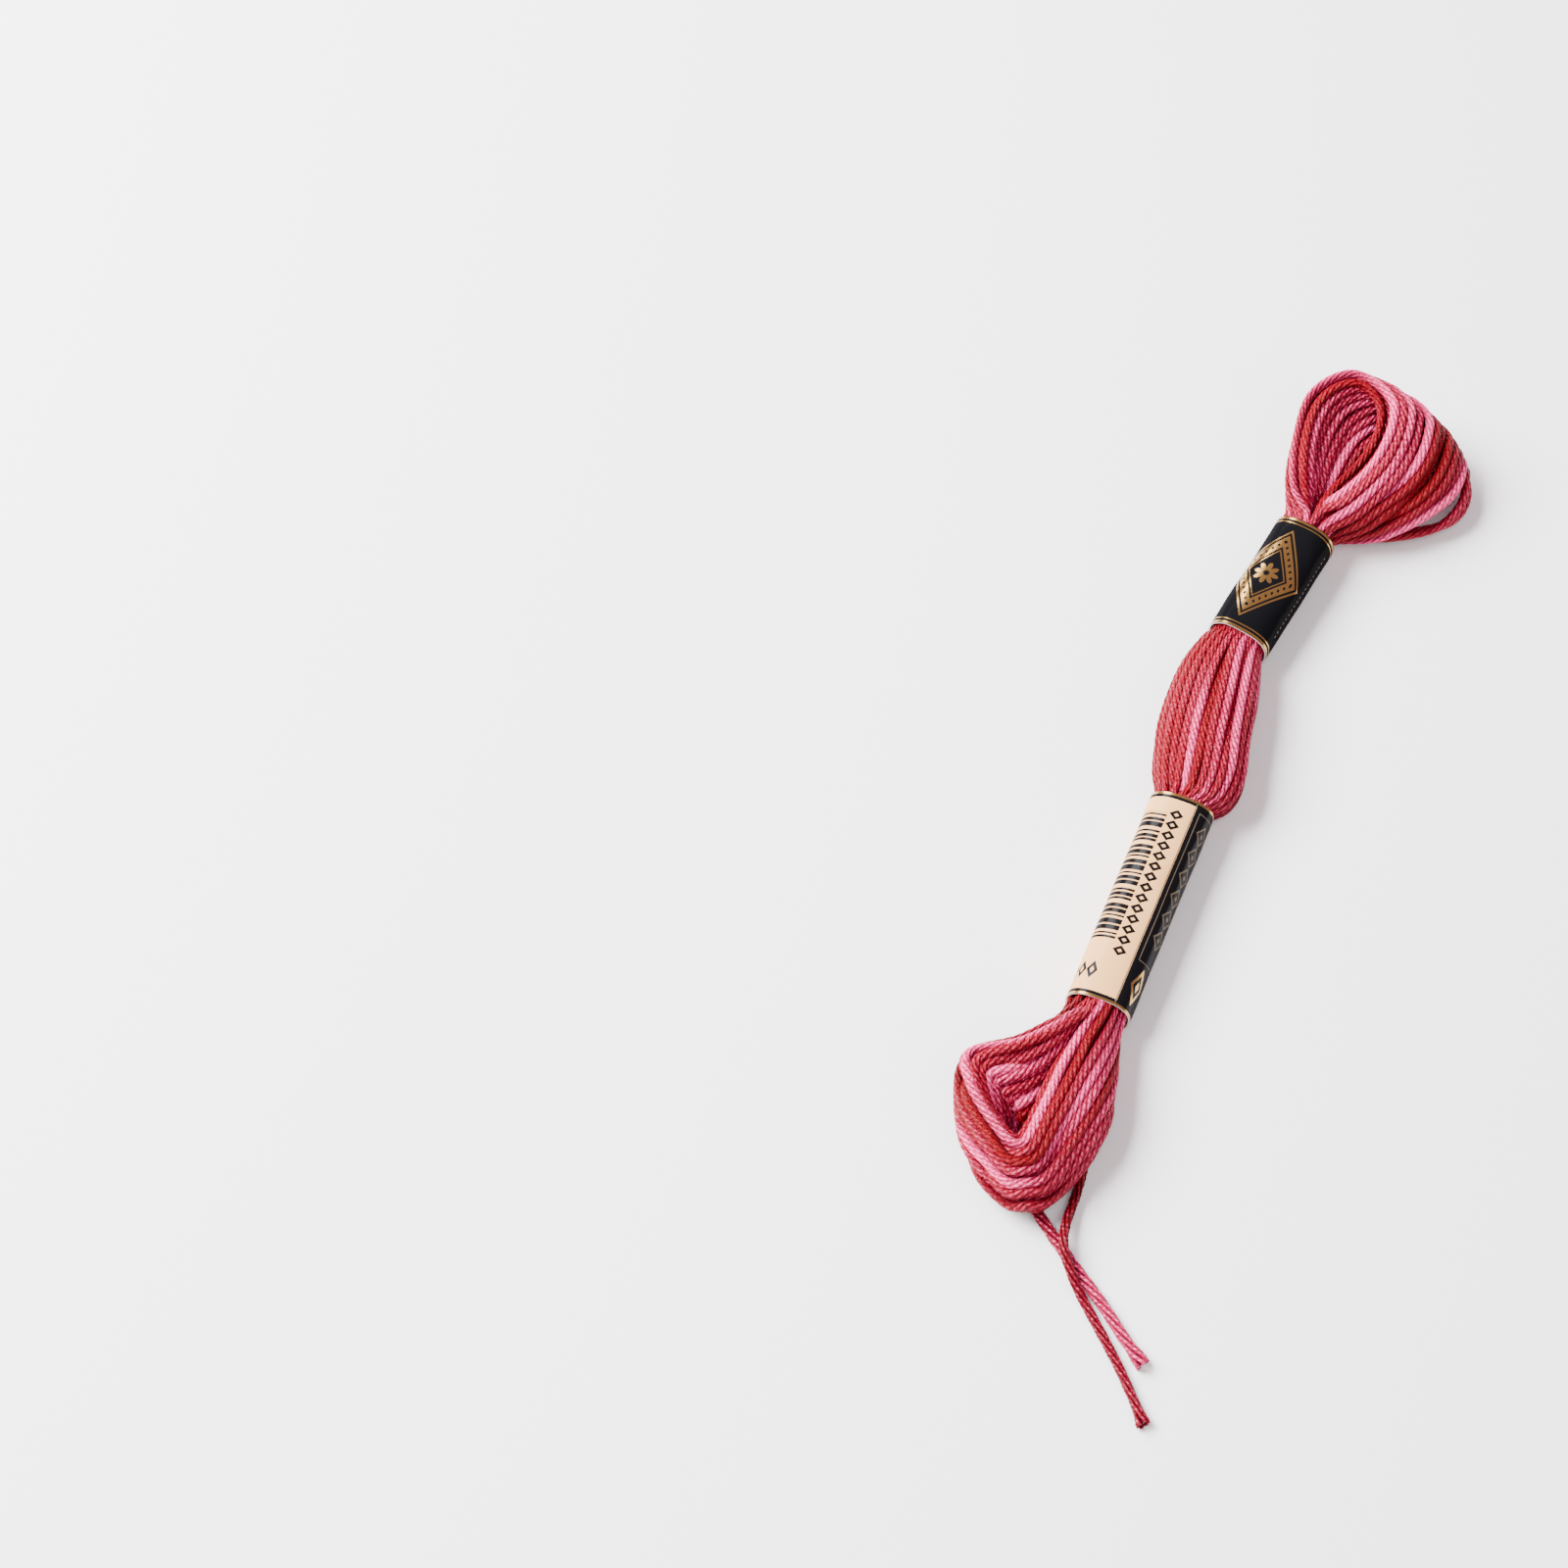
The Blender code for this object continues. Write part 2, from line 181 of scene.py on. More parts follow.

# Tone of each turn in hundredths, from red to the lightest pink, at five even
# places along it; the outer face's turns go from the near rim to the far one.
# The tones are partly the dyes and partly painted light and shade: some turns
# are set lighter where they lie in shade, and some redder to look shaded.
UPPER_TONES = (
    (75, 75, 95, 95, 95), (40, 30, 55, 50, 40), (60, 40, 85, 80, 90), (70, 60, 75, 50, 30),
    (50, 70, 100, 100, 100), (30, 20, 5, 20, 35), (20, 15, 20, 10, 45), (20, 30, 5, 0, 10),
    (50, 30, 15, 30, 30), (60, 80, 45, 55, 50), (30, 20, 80, 95, 70), (40, 40, 40, 35, 30),
    (50, 60, 60, 60, 70),
    # the inner face
    (25, 20, 20, 15, 20), (65, 75, 60, 15, 15), (55, 65, 55, 30, 50), (65, 75, 65, 50, 30),
    (50, 60, 55, 45, 50), (60, 65, 60, 50, 50), (90, 100, 100, 70, 40), (50, 45, 40, 30, 40),
    (40, 50, 50, 40, 60), (50, 50, 50, 40, 50), (40, 40, 40, 40, 50),
)
LOWER_TONES = (
    (60, 90, 85, 90, 95), (35, 50, 45, 10, 30), (30, 20, 0, 45, 70), (40, 5, 60, 90, 70),
    (30, 0, 40, 80, 95), (40, 10, 95, 20, 40), (40, 30, 40, 70, 60), (50, 50, 55, 55, 40),
    (40, 50, 45, 60, 65), (30, 40, 40, 50, 50),
    # the inner face
    (35, 35, 35, 30, 25), (42, 38, 42, 30, 25), (50, 50, 50, 35, 40), (95, 100, 90, 40, 30),
    (65, 75, 60, 40, 30), (65, 75, 60, 40, 60), (45, 55, 50, 30, 30), (50, 60, 50, 30, 40),
    (80, 95, 70, 30, 50), (30, 30, 20, 30, 30), (20, 15, 20, 30, 60), (20, 10, 10, 40, 40),
)
# The belly's outer turns, from the left side over the top and round below
BELLY_TONES = (
    (25, 25, 20, 25, 25), (25, 30, 35, 35, 30), (30, 25, 30, 35, 30), (35, 30, 35, 30, 25),
    (40, 35, 45, 40, 35), (40, 50, 80, 95, 100), (15, 5, 0, 10, 30), (50, 40, 35, 40, 40),
    (90, 85, 75, 70, 60), (45, 35, 30, 40, 40), (80, 90, 90, 80, 60), (50, 40, 45, 40, 40),
    (70, 75, 60, 60, 50), (30, 35, 40, 50, 50), (60, 60, 50, 40, 40), (40, 35, 35, 50, 50),
    (50, 40, 30, 30, 20), (30, 35, 40, 45, 50), (20, 20, 20, 10, 10), (70, 70, 60, 60, 50),
    (90, 85, 80, 80, 90), (30, 30, 40, 30, 20), (10, 10, 20, 20, 20), (40, 50, 60, 70, 70),
    (60, 50, 50, 50, 50), (20, 20, 30, 40, 40), (40, 40, 30, 40, 30),
)

# Loose ends: routes along the surface, as in the part's source
LOOSE_END_A = (
    (0.8, -65.0, 1.35), (1.1, -69.1, 1.25), (1.3, -74.6, 1.95), (2.2, -78.4, 2.80),
    (4.3, -81.5, 2.40), (6.8, -84.1, 1.35), (9.5, -86.6, 0.85), (15.3, -92.3, 0.85),
    (19.7, -97.2, 0.85), (21.9, -99.9, 0.85),
)
LOOSE_END_B = (
    (-7.2, -71.0, 1.20), (-4.4, -73.2, 1.50), (-0.8, -76.0, 1.00), (3.1, -79.0, 0.85),
    (10.3, -84.3, 0.85), (14.9, -88.1, 0.85), (18.9, -91.1, 0.85),
)
END_RING_STEP = 0.24  # mm between rings of a strand
STRAND_POINTS = 10  # round one strand
STRAND_RADIUS = 0.345  # in the thread's radius
STRAND_ORBIT = 0.66  # of a strand's middle, in the thread's radius
END_SLACK = 1.9  # a loose end's twist is this much longer
STRAND_LIT_ANGLE = 1.00  # radians from its top at which a strand's painted light turns to painted shade
STRAND_PLY = 1.7  # mm in which a strand's two plies turn once
PLY_DEPTH = 0.20  # how far they make its section oval
START_LIFT = 1.3  # mm by which a loose end comes down from the turns
START_RUN = 3.0  # mm over which it does
TUFT = 3.2  # mm at the tip over which the strands part
TUFT_SPREAD = 0.60  # how much wider the tip is
TIP_SWELL = 0.22  # how much thicker its strands are
TIP_UNEVEN = (-0.45, 0.25)  # mm by which they end before or past it
CUT_PAINTED_LIGHT = 0.8  # painted light on their cut faces
END_FADE = 1.6  # the last tone comes at the length over this
END_GRAIN = 0.6  # of the turns' grain to a length of strand

LOOSE_ENDS = (  # node, route, first and last tone, fullness, metres, seed
    ("loose_end_a", LOOSE_END_A, (0.36, 0.56), 1.0, 0.0440, 41),
    ("loose_end_b", LOOSE_END_B, (0.60, 0.95), 1.2, 0.0334, 42),
)

# The floss's finish
FLOSS_FINISH = "dyed_floss"
DYE_PLACES = (0.0, 0.38, 0.72, 1.0)  # tones of the pure dyes, red to light pink
GROOVE_SHADE = (0.34, 0.20, 0.24, 1.0)

# ---- The stage

VIEW_TURN = math.radians(21.0)  # from +Y towards -X
VIEW_HEIGHT = math.radians(60.0)  # above the floor
VIEW_TARGET = (-0.06485, -0.0207, 0.0)
VIEW_DISTANCE = 0.650
VIEW_LENS = 95.06
SENSOR = 36.0
LIT_POINT = (-0.03, -0.01, 0.0)
LIGHT_DISTANCE = 0.95
# Where each light stands, to the right, ahead and up, its size in metres, and
# the setting that holds its power
LIGHTS = (
    ("main light", (-0.80, 0.28, 0.84), 0.60, "key_power"),
    ("fill light", (0.35, -0.50, 0.92), 0.90, "fill_power"),
    ("gloss light", (-0.40, 0.70, 0.60), 0.36, "gloss_power"),
)
ROOM_COLOUR = (1.0, 0.68, 0.78, 1.0)
FLOOR_REACH = 1.6
FLOOR_Z = -0.00002  # just under the skein, so the two never flicker


# ---- Curve formulas

def place(points):
    """Takes layout millimetres to the frame's metres."""
    return (np.asarray(points, float) - LAYOUT_MIDDLE) * MM


def smooth_rows(rows, places):
    """Reads the rows of a table at fractional places along a smooth curve.

    Between two rows each column follows a cubic whose slope at a row is half
    the step from the row before to the row after.
    """
    rows = np.asarray(rows, float)
    last = len(rows) - 1
    start = np.minimum(places.astype(int), last - 1)
    t = (places - start).reshape((-1,) + (1,) * (rows.ndim - 1))
    before, here, there, after = (rows[np.clip(start + k, 0, last)] for k in (-1, 0, 1, 2))
    slope_here = (there - before) / 2
    slope_there = (after - here) / 2
    rise = t * t * (3 - 2 * t)
    return (here + (there - here) * rise + slope_here * t * (1 - t) ** 2
            - slope_there * t * t * (1 - t))


def ease(share):
    """A share from 0 to 1 that starts and ends level."""
    share = np.clip(share, 0.0, 1.0)
    return share * share * (3 - 2 * share)


def unit(vectors):
    """Vectors of length one along the last axis."""
    return vectors / np.linalg.norm(vectors, axis=-1, keepdims=True)


def add_up(steps):
    """The steps' running total along the first axis, from 0."""
    return np.concatenate([np.zeros_like(steps[:1]), np.cumsum(steps, axis=0)])


def lengths(points):
    """How far along its line each point lies, from the first, with lines
    along the first axis."""
    return add_up(np.linalg.norm(np.diff(points, axis=0), axis=-1))


def superellipse(angles, width, height, exponent):
    """Points of a superellipse: sideways and upward, at each angle."""
    return [np.sign(wave) * np.abs(wave) ** (2 / exponent) * size / 2
            for wave, size in ((np.cos(angles), width), (np.sin(angles), height))]


def even_angles(shares, first, width, height, exponent):
    """Angles of a superellipse's points at shares of the way round it,
    clockwise from the first angle; with them, the whole way's length."""
    fine = first - np.linspace(0, 2 * math.pi, 2001)
    side, rise = superellipse(fine, width, height, exponent)
    way = add_up(np.hypot(np.diff(side), np.diff(rise)))
    return np.interp(shares * way[-1], way, fine), way[-1]


def even_out(line, share):
    """Moves the points between a line's ends, along axis 1, by that share of
    the way to the middle of their two neighbours."""
    line[:, 1:-1] += share * ((line[:, :-2] + line[:, 2:]) / 2 - line[:, 1:-1])


def wander(random, count, run, length, reach):
    """Slow drift of each turn along its run: a sum of three sine waves whose
    lengths lie about the given one, each with its own start."""
    drift = np.zeros((count, len(run)))
    for share in (0.7, 1.0, 1.7):
        start = random.uniform(0, 2 * math.pi, (count, 1))
        drift += np.sin(run[None] * 2 * math.pi / (length * share) + start)
    return drift * reach / 3


def settle(aim, radius, clear, hold_in):
    """Lets turns find their places side by side, in all sections at once.

    The aim holds places in the section, sideways and upward, with a row for
    each turn, and the turns start there. Each step moves two turns that are
    closer than they can lie, and than the one keeps clear of the other, apart
    along the line between them, evens each turn out along its run, draws it
    gently to its aim, and holds it inside the section.
    """
    side, rise = aim
    reach = CONTACT * (radius[:, None] + radius[None]) + abs(clear[:, None] - clear[None])
    for _ in range(SETTLE_STEPS):
        apart_side = side[:, None] - side[None]
        apart_rise = rise[:, None] - rise[None]
        apart = np.sqrt(apart_side ** 2 + apart_rise ** 2) + 1e-6
        push = np.clip(reach - apart, 0.0, None) / apart * SETTLE_PUSH
        side = side + (push * apart_side).sum(axis=1)
        rise = rise + (push * apart_rise).sum(axis=1)
        even_out(side, SETTLE_EVEN)
        even_out(rise, SETTLE_EVEN)
        side = side + SETTLE_DRAW * (aim[0] - side)
        rise = rise + SETTLE_DRAW * (aim[1] - rise)
        side, rise = hold_in(side, rise)
    return side, rise


# ---- Thread meshes

def resample(points, extras, step):
    """Runs of points, [turn, station, xyz], at an even step along each run.

    The turns are read four times as densely on smooth curves, and then at
    equal lengths; extras are arrays of the same turns and stations that are
    read at the same places.
    """
    columns = np.concatenate([points] + extras, axis=2).transpose(1, 0, 2)
    dense = smooth_rows(columns, np.linspace(0, len(columns) - 1, 4 * len(columns)))
    run = lengths(dense[:, :, :3]).T
    count = int(run[:, -1].mean() / step) + 1
    share = np.linspace(0, 1, count)
    even = np.stack([
        np.stack([np.interp(share * along[-1], along, column) for column in turn.T], 1)
        for turn, along in zip(dense.transpose(1, 0, 2), run)])
    return even, share[None] * run[:, -1:]


def cross_ways(centres, reference):
    """A line's direction at each point, and two ways across it: the reference
    made square to the line, and the way beside that."""
    tangent = unit(np.gradient(centres, axis=1))
    out = unit(reference - (reference * tangent).sum(axis=2, keepdims=True) * tangent)
    return tangent, out, np.cross(tangent, out)


def rings_round(centres, out, beside, high, wide):
    """Ring points so far out of each centre, and so far beside it."""
    return (centres[:, :, None] + high[..., None] * out[:, :, None]
            + wide[..., None] * beside[:, :, None])


def twisted_rings(centres, reference, radius, run, twist, start, flat):
    """Rings of a thread of strands: a circle with a groove between strands.

    A ring's points stand round the centre in the plane across the thread,
    the first axis along the reference; the circle turns back by a full turn
    every twist's length, and is flat[0] as high and flat[1] as wide. With the
    rings comes each point's painted light: 1 on the side the reference points
    to, falling to 0, painted shade, round the thread, and partly up again at its
    very back.
    """
    _, out, beside = cross_ways(centres, reference)
    point = np.arange(RING_POINTS)
    size = radius * np.where(point % 3 == 0, VALLEY, 1.0)
    angle = 2 * math.pi * (point / RING_POINTS - run[:, :, None] / twist)
    angle = angle + start[:, None, None]
    facing = np.cos(angle)
    rings = rings_round(centres, out, beside, size * facing * flat[0],
                        size * np.sin(angle) * flat[1])
    # Painted light: lit on the reference's side and partly at the back, painted shade round the
    # sides
    back = BACK_PAINTED_LIGHT * ease((-facing - BACK_FROM) / BACK_RISE)
    return rings, np.maximum(0.5 + 0.5 * facing, back)


def tube_mesh(name, rings, crest, run, tones, round_from=0.0, round_share=1.0):
    """A closed tube for each turn: rings joined by four-sided faces, a lid at
    either end. rings is [turn, ring, point, xyz] in metres. The thread's own
    coordinates are the run, and the way round from the given start over the
    given share of the thread."""
    turns, count, points, _ = rings.shape
    index = np.arange(turns * count * points).reshape(turns, count, points)
    after = np.roll(index, -1, axis=2)
    walls = np.stack(
        [index[:, :-1], after[:, :-1], after[:, 1:], index[:, 1:]], axis=-1).reshape(-1, 4)
    lids = np.concatenate([index[:, 0, ::-1], index[:, -1]])
    corners = np.concatenate([walls.ravel(), lids.ravel()])
    starts = np.concatenate([
        4 * np.arange(len(walls)), walls.size + points * np.arange(len(lids))])
    mesh = bpy.data.meshes.new(name)
    mesh.vertices.add(rings.size // 3)
    mesh.vertices.foreach_set("co", rings.ravel())
    mesh.loops.add(len(corners))
    mesh.loops.foreach_set("vertex_index", corners)
    mesh.polygons.add(len(starts))
    mesh.polygons.foreach_set("loop_start", starts)
    mesh.polygons.foreach_set("use_smooth", np.ones(len(starts), bool))
    u = np.repeat(run[:, :, None], points, axis=2).ravel()[corners]
    from_here = np.broadcast_to(round_from, (turns,))[:, None, None]
    way = from_here + np.tile(np.arange(points), (turns, count, 1)) * round_share / points
    here = way[:, :-1]
    there = here + round_share / points
    v = np.concatenate([np.stack([here, there, there, here], -1).ravel(),
                        way.ravel()[lids.ravel()]])
    layer = mesh.uv_layers.new(name="thread")
    layer.uv.foreach_set("vector", np.stack([u, v], axis=1).ravel())
    for label, values in (("tone", np.repeat(tones[:, :, None], points, 2)),
                          ("crest", crest)):
        made = mesh.attributes.new(label, "FLOAT", "POINT")
        made.data.foreach_set("value", values.ravel())
    mesh.update(calc_edges=True)
    mesh.validate()
    return mesh


def strand_rings(route, fullness, floss, seed):
    """Rings of the six strands of a loose end, and the end's centre line.

    Each strand's middle circles the thread's own line once in a twist, and
    moves away from it and swells over the tuft at the tip. A strand's section
    is an oval that turns the other way with its two plies. Strands end
    unevenly. The fullness is how much wider than the thread the end lies.
    """
    random = np.random.default_rng(seed)
    line = smooth_rows(route, np.linspace(0, len(route) - 1, 60))[None]
    even, run = resample(line, [], END_RING_STEP)
    centres = np.repeat(even, STRANDS, axis=0)
    run = np.repeat(run, STRANDS, axis=0)
    full = floss.thread_diameter / MM / 2 * fullness
    to_tip = 1 - ease((run[:, -1:] - run) / TUFT)
    spread = 1 + TUFT_SPREAD * to_tip * random.uniform(0.5, 1.2, (STRANDS, 1))
    tangent, out, beside = cross_ways(centres, UP)
    angle = 2 * math.pi * (np.arange(STRANDS)[:, None] / STRANDS
                           - run / (END_SLACK * floss.twist_length / MM))
    orbit = full * STRAND_ORBIT * spread
    middles = (centres + (orbit * np.cos(angle))[..., None] * out
               + (orbit * np.sin(angle))[..., None] * beside)
    middles += tangent * (random.uniform(*TIP_UNEVEN, (STRANDS, 1)) * to_tip)[..., None]
    middles[..., 2] += START_LIFT * (1 - ease(run / START_RUN))
    round_angle = 2 * math.pi * np.arange(STRAND_POINTS) / STRAND_POINTS - math.pi
    ply = np.cos(2 * (round_angle + 2 * math.pi * run[:, :, None] / STRAND_PLY))
    size = full * STRAND_RADIUS * (1 + PLY_DEPTH * ply) * (1 + TIP_SWELL * to_tip)[..., None]
    turn = round_angle + angle[..., None]
    rings = rings_round(middles, out, beside, size * np.cos(turn), size * np.sin(turn))
    rings[..., 2] = np.maximum(rings[..., 2], 0.0)
    # Painted light of each strand: lit on its outer side, falling to painted shade round it,
    # darker on strands under the thread and between plies; cut faces at a fixed painted light
    crest = np.clip(1.3 - (round_angle / STRAND_LIT_ANGLE) ** 2, 0, 1)
    crest = crest * np.clip(0.75 + 0.5 * np.cos(angle), 0.25, 1)[..., None]
    crest = crest * (0.70 + 0.30 * np.cos(4 * math.pi * run / STRAND_PLY))[..., None]
    crest[:, -1] = CUT_PAINTED_LIGHT
    return rings, crest, run, even[0]


def show(mesh, finish, node):
    """Puts a finished mesh in the scene, in place of its node."""
    mesh.materials.append(finish)
    piece = bpy.data.objects.new(mesh.name, mesh)
    bpy.context.collection.objects.link(piece)
    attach(piece, "root")
    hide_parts(node)
    return piece


def thread_radius(run, floss):
    """A thread's radius along its run: squeezed in the bands at both ends,
    and back to full size past them."""
    from_end = np.minimum(run, run[:, -1:] - run)
    share = MOUTH_RADIUS + (1 - MOUTH_RADIUS) * ease((from_end - MOUTH_START) / MOUTH_RUN)
    return floss.thread_diameter / MM / 2 * share


def turn_tones(random, table, count, stations):
    """Each turn's tone along its run, smooth between its five values, with
    a slow unevenness of the dye."""
    table = np.asarray(table, float).T / 100
    tones = smooth_rows(table, np.linspace(0, len(table) - 1, stations)).T
    drift = wander(random, count, np.linspace(0, 60, stations), 25.0, 0.12)
    return np.clip(tones + drift, 0.0, 1.0)


# ---- Loops, belly

def ribbon_sections(table, lean):
    """The sections of a loop's ribbon: rims, outward direction, thickness,
    crown, crowding, and how far each is still held to half of the trunk."""
    last = len(table) - 1
    places = np.linspace(0, last, LOOP_STATIONS)
    rows = smooth_rows(table, places)
    near, far = rows[:, 0:3], rows[:, 3:6]
    middle = (near + far) / 2
    outward = unit(np.cross(far - near, np.gradient(middle, axis=0)))
    outward *= np.sign(np.sum(outward * (middle - middle.mean(axis=0))))
    from_trunk = np.minimum(places, last - places) - 1.0
    hold = 1 - ease(from_trunk / PARTING_ROWS)
    angle = math.radians(lean)
    way = np.where(places < last / 2, -1.0, 1.0)[:, None]
    side = way * np.array([math.cos(angle), -math.sin(angle), 0.0])
    outward = unit(outward * (1 - hold[:, None]) + side * hold[:, None])
    return near, far, outward, rows[:, 6], rows[:, 7], rows[:, 8:10].T, hold


def lens(across):
    """How thick the ribbon is at a share of its width, in its thickness."""
    off = np.clip(np.abs(1 - 2 * across), 0.0, 1.0)
    return (1 - off ** RIBBON_ROUNDNESS) ** (1 / RIBBON_ROUNDNESS)


def true_width(near, far, outward, crown):
    """Width measured square across the threads, from the near rim: the part
    of each step across the ribbon that doesn't run along it, added up."""
    share = np.linspace(0, 1, 25)[:, None, None]
    arch = crown[None, :, None] * 4 * share * (1 - share)
    grid = near + (far - near) * share + outward * arch
    along = unit(np.gradient(grid, axis=1))
    square = np.linalg.norm(np.cross(np.diff(grid, axis=0), along[1:]), axis=2)
    return share[:, 0, 0], add_up(square)


def loop_turns(table, counts, lean, slit, easing, stray, seed, floss):
    """Centre lines of a loop's turns, with the directions that they face and are
    painted lit towards, and their radii.

    Turns start in two layers across the ribbon's true width, settle in every
    section, and are read back as points between the rims; the inner ones then
    draw their bends round. The slit is how far the outer face's last turns
    keep clear of the others at its widest.
    """
    random = np.random.default_rng(seed)
    near, far, outward, thickness, crown, crowd, hold = ribbon_sections(table, lean)
    share, width = true_width(near, far, outward, crown)
    full = width[-1]
    run = lengths((near + far) / 2)
    outer_count, inner_count = counts
    count = outer_count + inner_count
    radius = thread_radius(np.tile(run, (count, 1)), floss)
    clear = np.zeros_like(radius)
    clear[outer_count - PARTED_TURNS:outer_count] = slit * (
        1 - ease(np.abs(run / run[-1] - SLIT_PLACE) / SLIT_REACH))
    start = np.concatenate([(np.arange(outer_count) + 0.5) / outer_count,
                            (np.arange(inner_count) + 1.0) / (inner_count + 1)])
    face = np.concatenate([np.ones(outer_count), -np.ones(inner_count)])[:, None]
    drift = wander(random, count, run, STRAY_LENGTH, stray)
    across = np.clip(start[:, None] + drift, 0.02, 0.98)
    layer = face + wander(random, count, run, LAYER_LENGTH, LAYER_STRAY)

    def edges(across, radius):
        """Middle of the room that a turn has there, and half of that room."""
        arch = crown * 4 * across * (1 - across)
        outer = arch + thickness / 2 * lens(across)
        inner = (arch - thickness / 2 * lens(across)) * (1 - hold)
        inner = inner - crowd[0] * (1 - across) - crowd[1] * across
        outer = outer - radius * (outer - arch) * 2 / thickness
        inner = np.minimum(inner + radius * lens(across), outer)
        return (outer + inner) / 2, (outer - inner) / 2

    def hold_in(side, rise):
        side = np.clip(side, radius, full - radius)
        centre, room = edges((side - radius) / (full - 2 * radius), radius)
        rise = centre + np.clip(rise - centre, -room, room)
        return side, np.maximum(rise, radius - LEGS_PART * (1 - hold))

    inset = (across * full - radius) / (full - 2 * radius)
    centre, room = edges(np.clip(inset, 0, 1), radius)
    side, rise = settle((across * full, centre + room * layer), radius, clear, hold_in)
    even_out(side, 0.5)
    even_out(rise, 0.5)
    back = np.stack([np.interp(side[:, s], width[:, s], share)
                     for s in range(LOOP_STATIONS)], axis=1)[..., None]
    points = near + (far - near) * back + outward * rise[..., None]
    ease_in = 0.5 * np.clip(crowd.max(axis=0) / 3.0, 0, 1)[1:-1, None]
    for _ in range(easing):
        even_out(points[outer_count:], ease_in)
    # The way each turn faces and is painted lit towards: out of its face, leaning towards the rim
    # it lies near, and for inner turns towards the near rim
    off = 1 - 2 * back
    face = face[..., None]
    rim = unit(near - far) * (off ** 3 + (face < 0) * INNER_TILT)
    return points, unit(outward * face * (1.15 - off ** 2) + rim), radius


def belly_turns(seed, floss):
    """Centre lines of the belly's turns, with their outward directions and
    radii. Turns start on rings inside the trunk's superellipse and settle."""
    random = np.random.default_rng(seed)
    rows = smooth_rows(BELLY, np.linspace(0, len(BELLY) - 1, BELLY_STATIONS))
    middle, width, height = rows[:, :3], rows[:, 3], rows[:, 4]
    lean = np.radians(rows[:, 5])
    run = lengths(middle)
    count = sum(BELLY_RINGS)
    radius = thread_radius(np.tile(run, (count, 1)), floss)
    turns = np.concatenate([
        even_angles((np.arange(ring) + 0.5) / ring, math.pi, width.max(), height.max(),
                    TRUNK_ROUNDNESS)[0] for ring in BELLY_RINGS])
    sizes = np.repeat(BELLY_RING_SIZES, BELLY_RINGS)
    turns = turns[:, None] + wander(random, count, run, STRAY_LENGTH, BELLY_STRAY)
    sizes = sizes[:, None] + wander(random, count, run, BELLY_SIZE_LENGTH, BELLY_SIZE_STRAY)

    def hold_in(side, rise):
        wide, high = width / 2 - radius, height / 2 - radius
        place_in = (np.abs(side / wide) ** TRUNK_ROUNDNESS
                    + np.abs(rise / high) ** TRUNK_ROUNDNESS) ** (1 / TRUNK_ROUNDNESS)
        over = np.maximum(place_in, 1.0)
        return side / over, rise / over

    side, rise = superellipse(turns, width - 2 * radius, height - 2 * radius, TRUNK_ROUNDNESS)
    aim = side * sizes, rise * sizes
    side, rise = settle(aim, radius, np.zeros_like(radius), hold_in)
    across = np.stack([np.cos(lean), -np.sin(lean), 0 * lean], axis=1)
    points = middle + side[..., None] * across + rise[..., None] * UP
    radial = (side / width ** 2)[..., None] * across + (rise / height ** 2)[..., None] * UP
    return points, unit(radial), radius


def add_turns(name, turns, table, eye_from, seed, flat, floss):
    """Sweeps a piece's turns along their centre lines, as many as the table
    of tones has, and puts them in the hank's place. Turns from the given one
    on face an eye, and are painted lit over more of their round."""
    points, directions, radius = turns
    random = np.random.default_rng(seed)
    count, stations = radius.shape
    uneven = 1 + wander(random, count, np.arange(stations), UNEVEN_LENGTH, UNEVEN)
    even, run = resample(points, [directions, (radius * uneven)[..., None]], RING_STEP)
    start = random.uniform(0, 2 * math.pi, count)
    rings, crest = twisted_rings(even[:, :, :3], even[:, :, 3:6], even[:, :, 6:7], run,
                                 floss.twist_length / MM, start, flat)
    rings[..., 2] = np.maximum(rings[..., 2], 0.0)
    # Turns facing an eye get painted light over more of their round
    crest[eye_from:] **= EYE_PAINTED_LIGHT
    shown = len(table)
    tones = turn_tones(random, table, shown, run.shape[1])
    mesh = tube_mesh(name, place(rings[:shown]), crest[:shown], run[:shown], tones)
    show(mesh, shared_floss(floss), "hank")


# ---- Bands

def band_walls(ends, seed):
    """The outer and inner wall of a band, [wall, along, around, xyz], with
    the outer wall's way round and along it in mm.

    A wall is a superellipse, evenly spaced round, pressed flat underneath
    and carried along the band's axis. The paper gives a little: the wall
    goes in and out by a few hundredths of a millimetre over slow waves.
    """
    random = np.random.default_rng(seed)
    (x0, y0), (x1, y1) = ends
    length = math.hypot(x1 - x0, y1 - y0)
    lean = math.atan2(x1 - x0, y1 - y0)
    oval_height = BAND_HEIGHT + BAND_FLAT
    middle = oval_height / 2 - BAND_FLAT
    shares = np.arange(BAND_AROUND) / BAND_AROUND
    angles, way = even_angles(
        shares, math.pi * 1.5, BAND_WIDTH, oval_height, BAND_ROUNDNESS)
    along = np.linspace(0, length, BAND_ALONG)
    ripple = np.zeros((BAND_ALONG, BAND_AROUND))
    for waves, reach in PAPER_WAVES:
        start = random.uniform(0, 2 * math.pi, 2)
        ripple += reach * np.outer(
            np.sin(2 * math.pi * along / length * (waves * WAVES_ALONG) + start[0]),
            np.sin(waves * angles + start[1]))
    walls = []
    for inset in (0.0, PAPER):
        side, rise = superellipse(angles, BAND_WIDTH - 2 * inset,
                                  oval_height - 2 * inset, BAND_ROUNDNESS)
        side = side + ripple * np.cos(angles)
        rise = np.maximum(rise + ripple * np.sin(angles) + middle, inset)
        share = (along / length)[:, None]
        x = x0 + (x1 - x0) * share + side * math.cos(lean)
        y = y0 + (y1 - y0) * share - side * math.sin(lean)
        walls.append(np.stack([x, y, rise], axis=-1))
    return np.array(walls), (shares - 0.5) * way, along


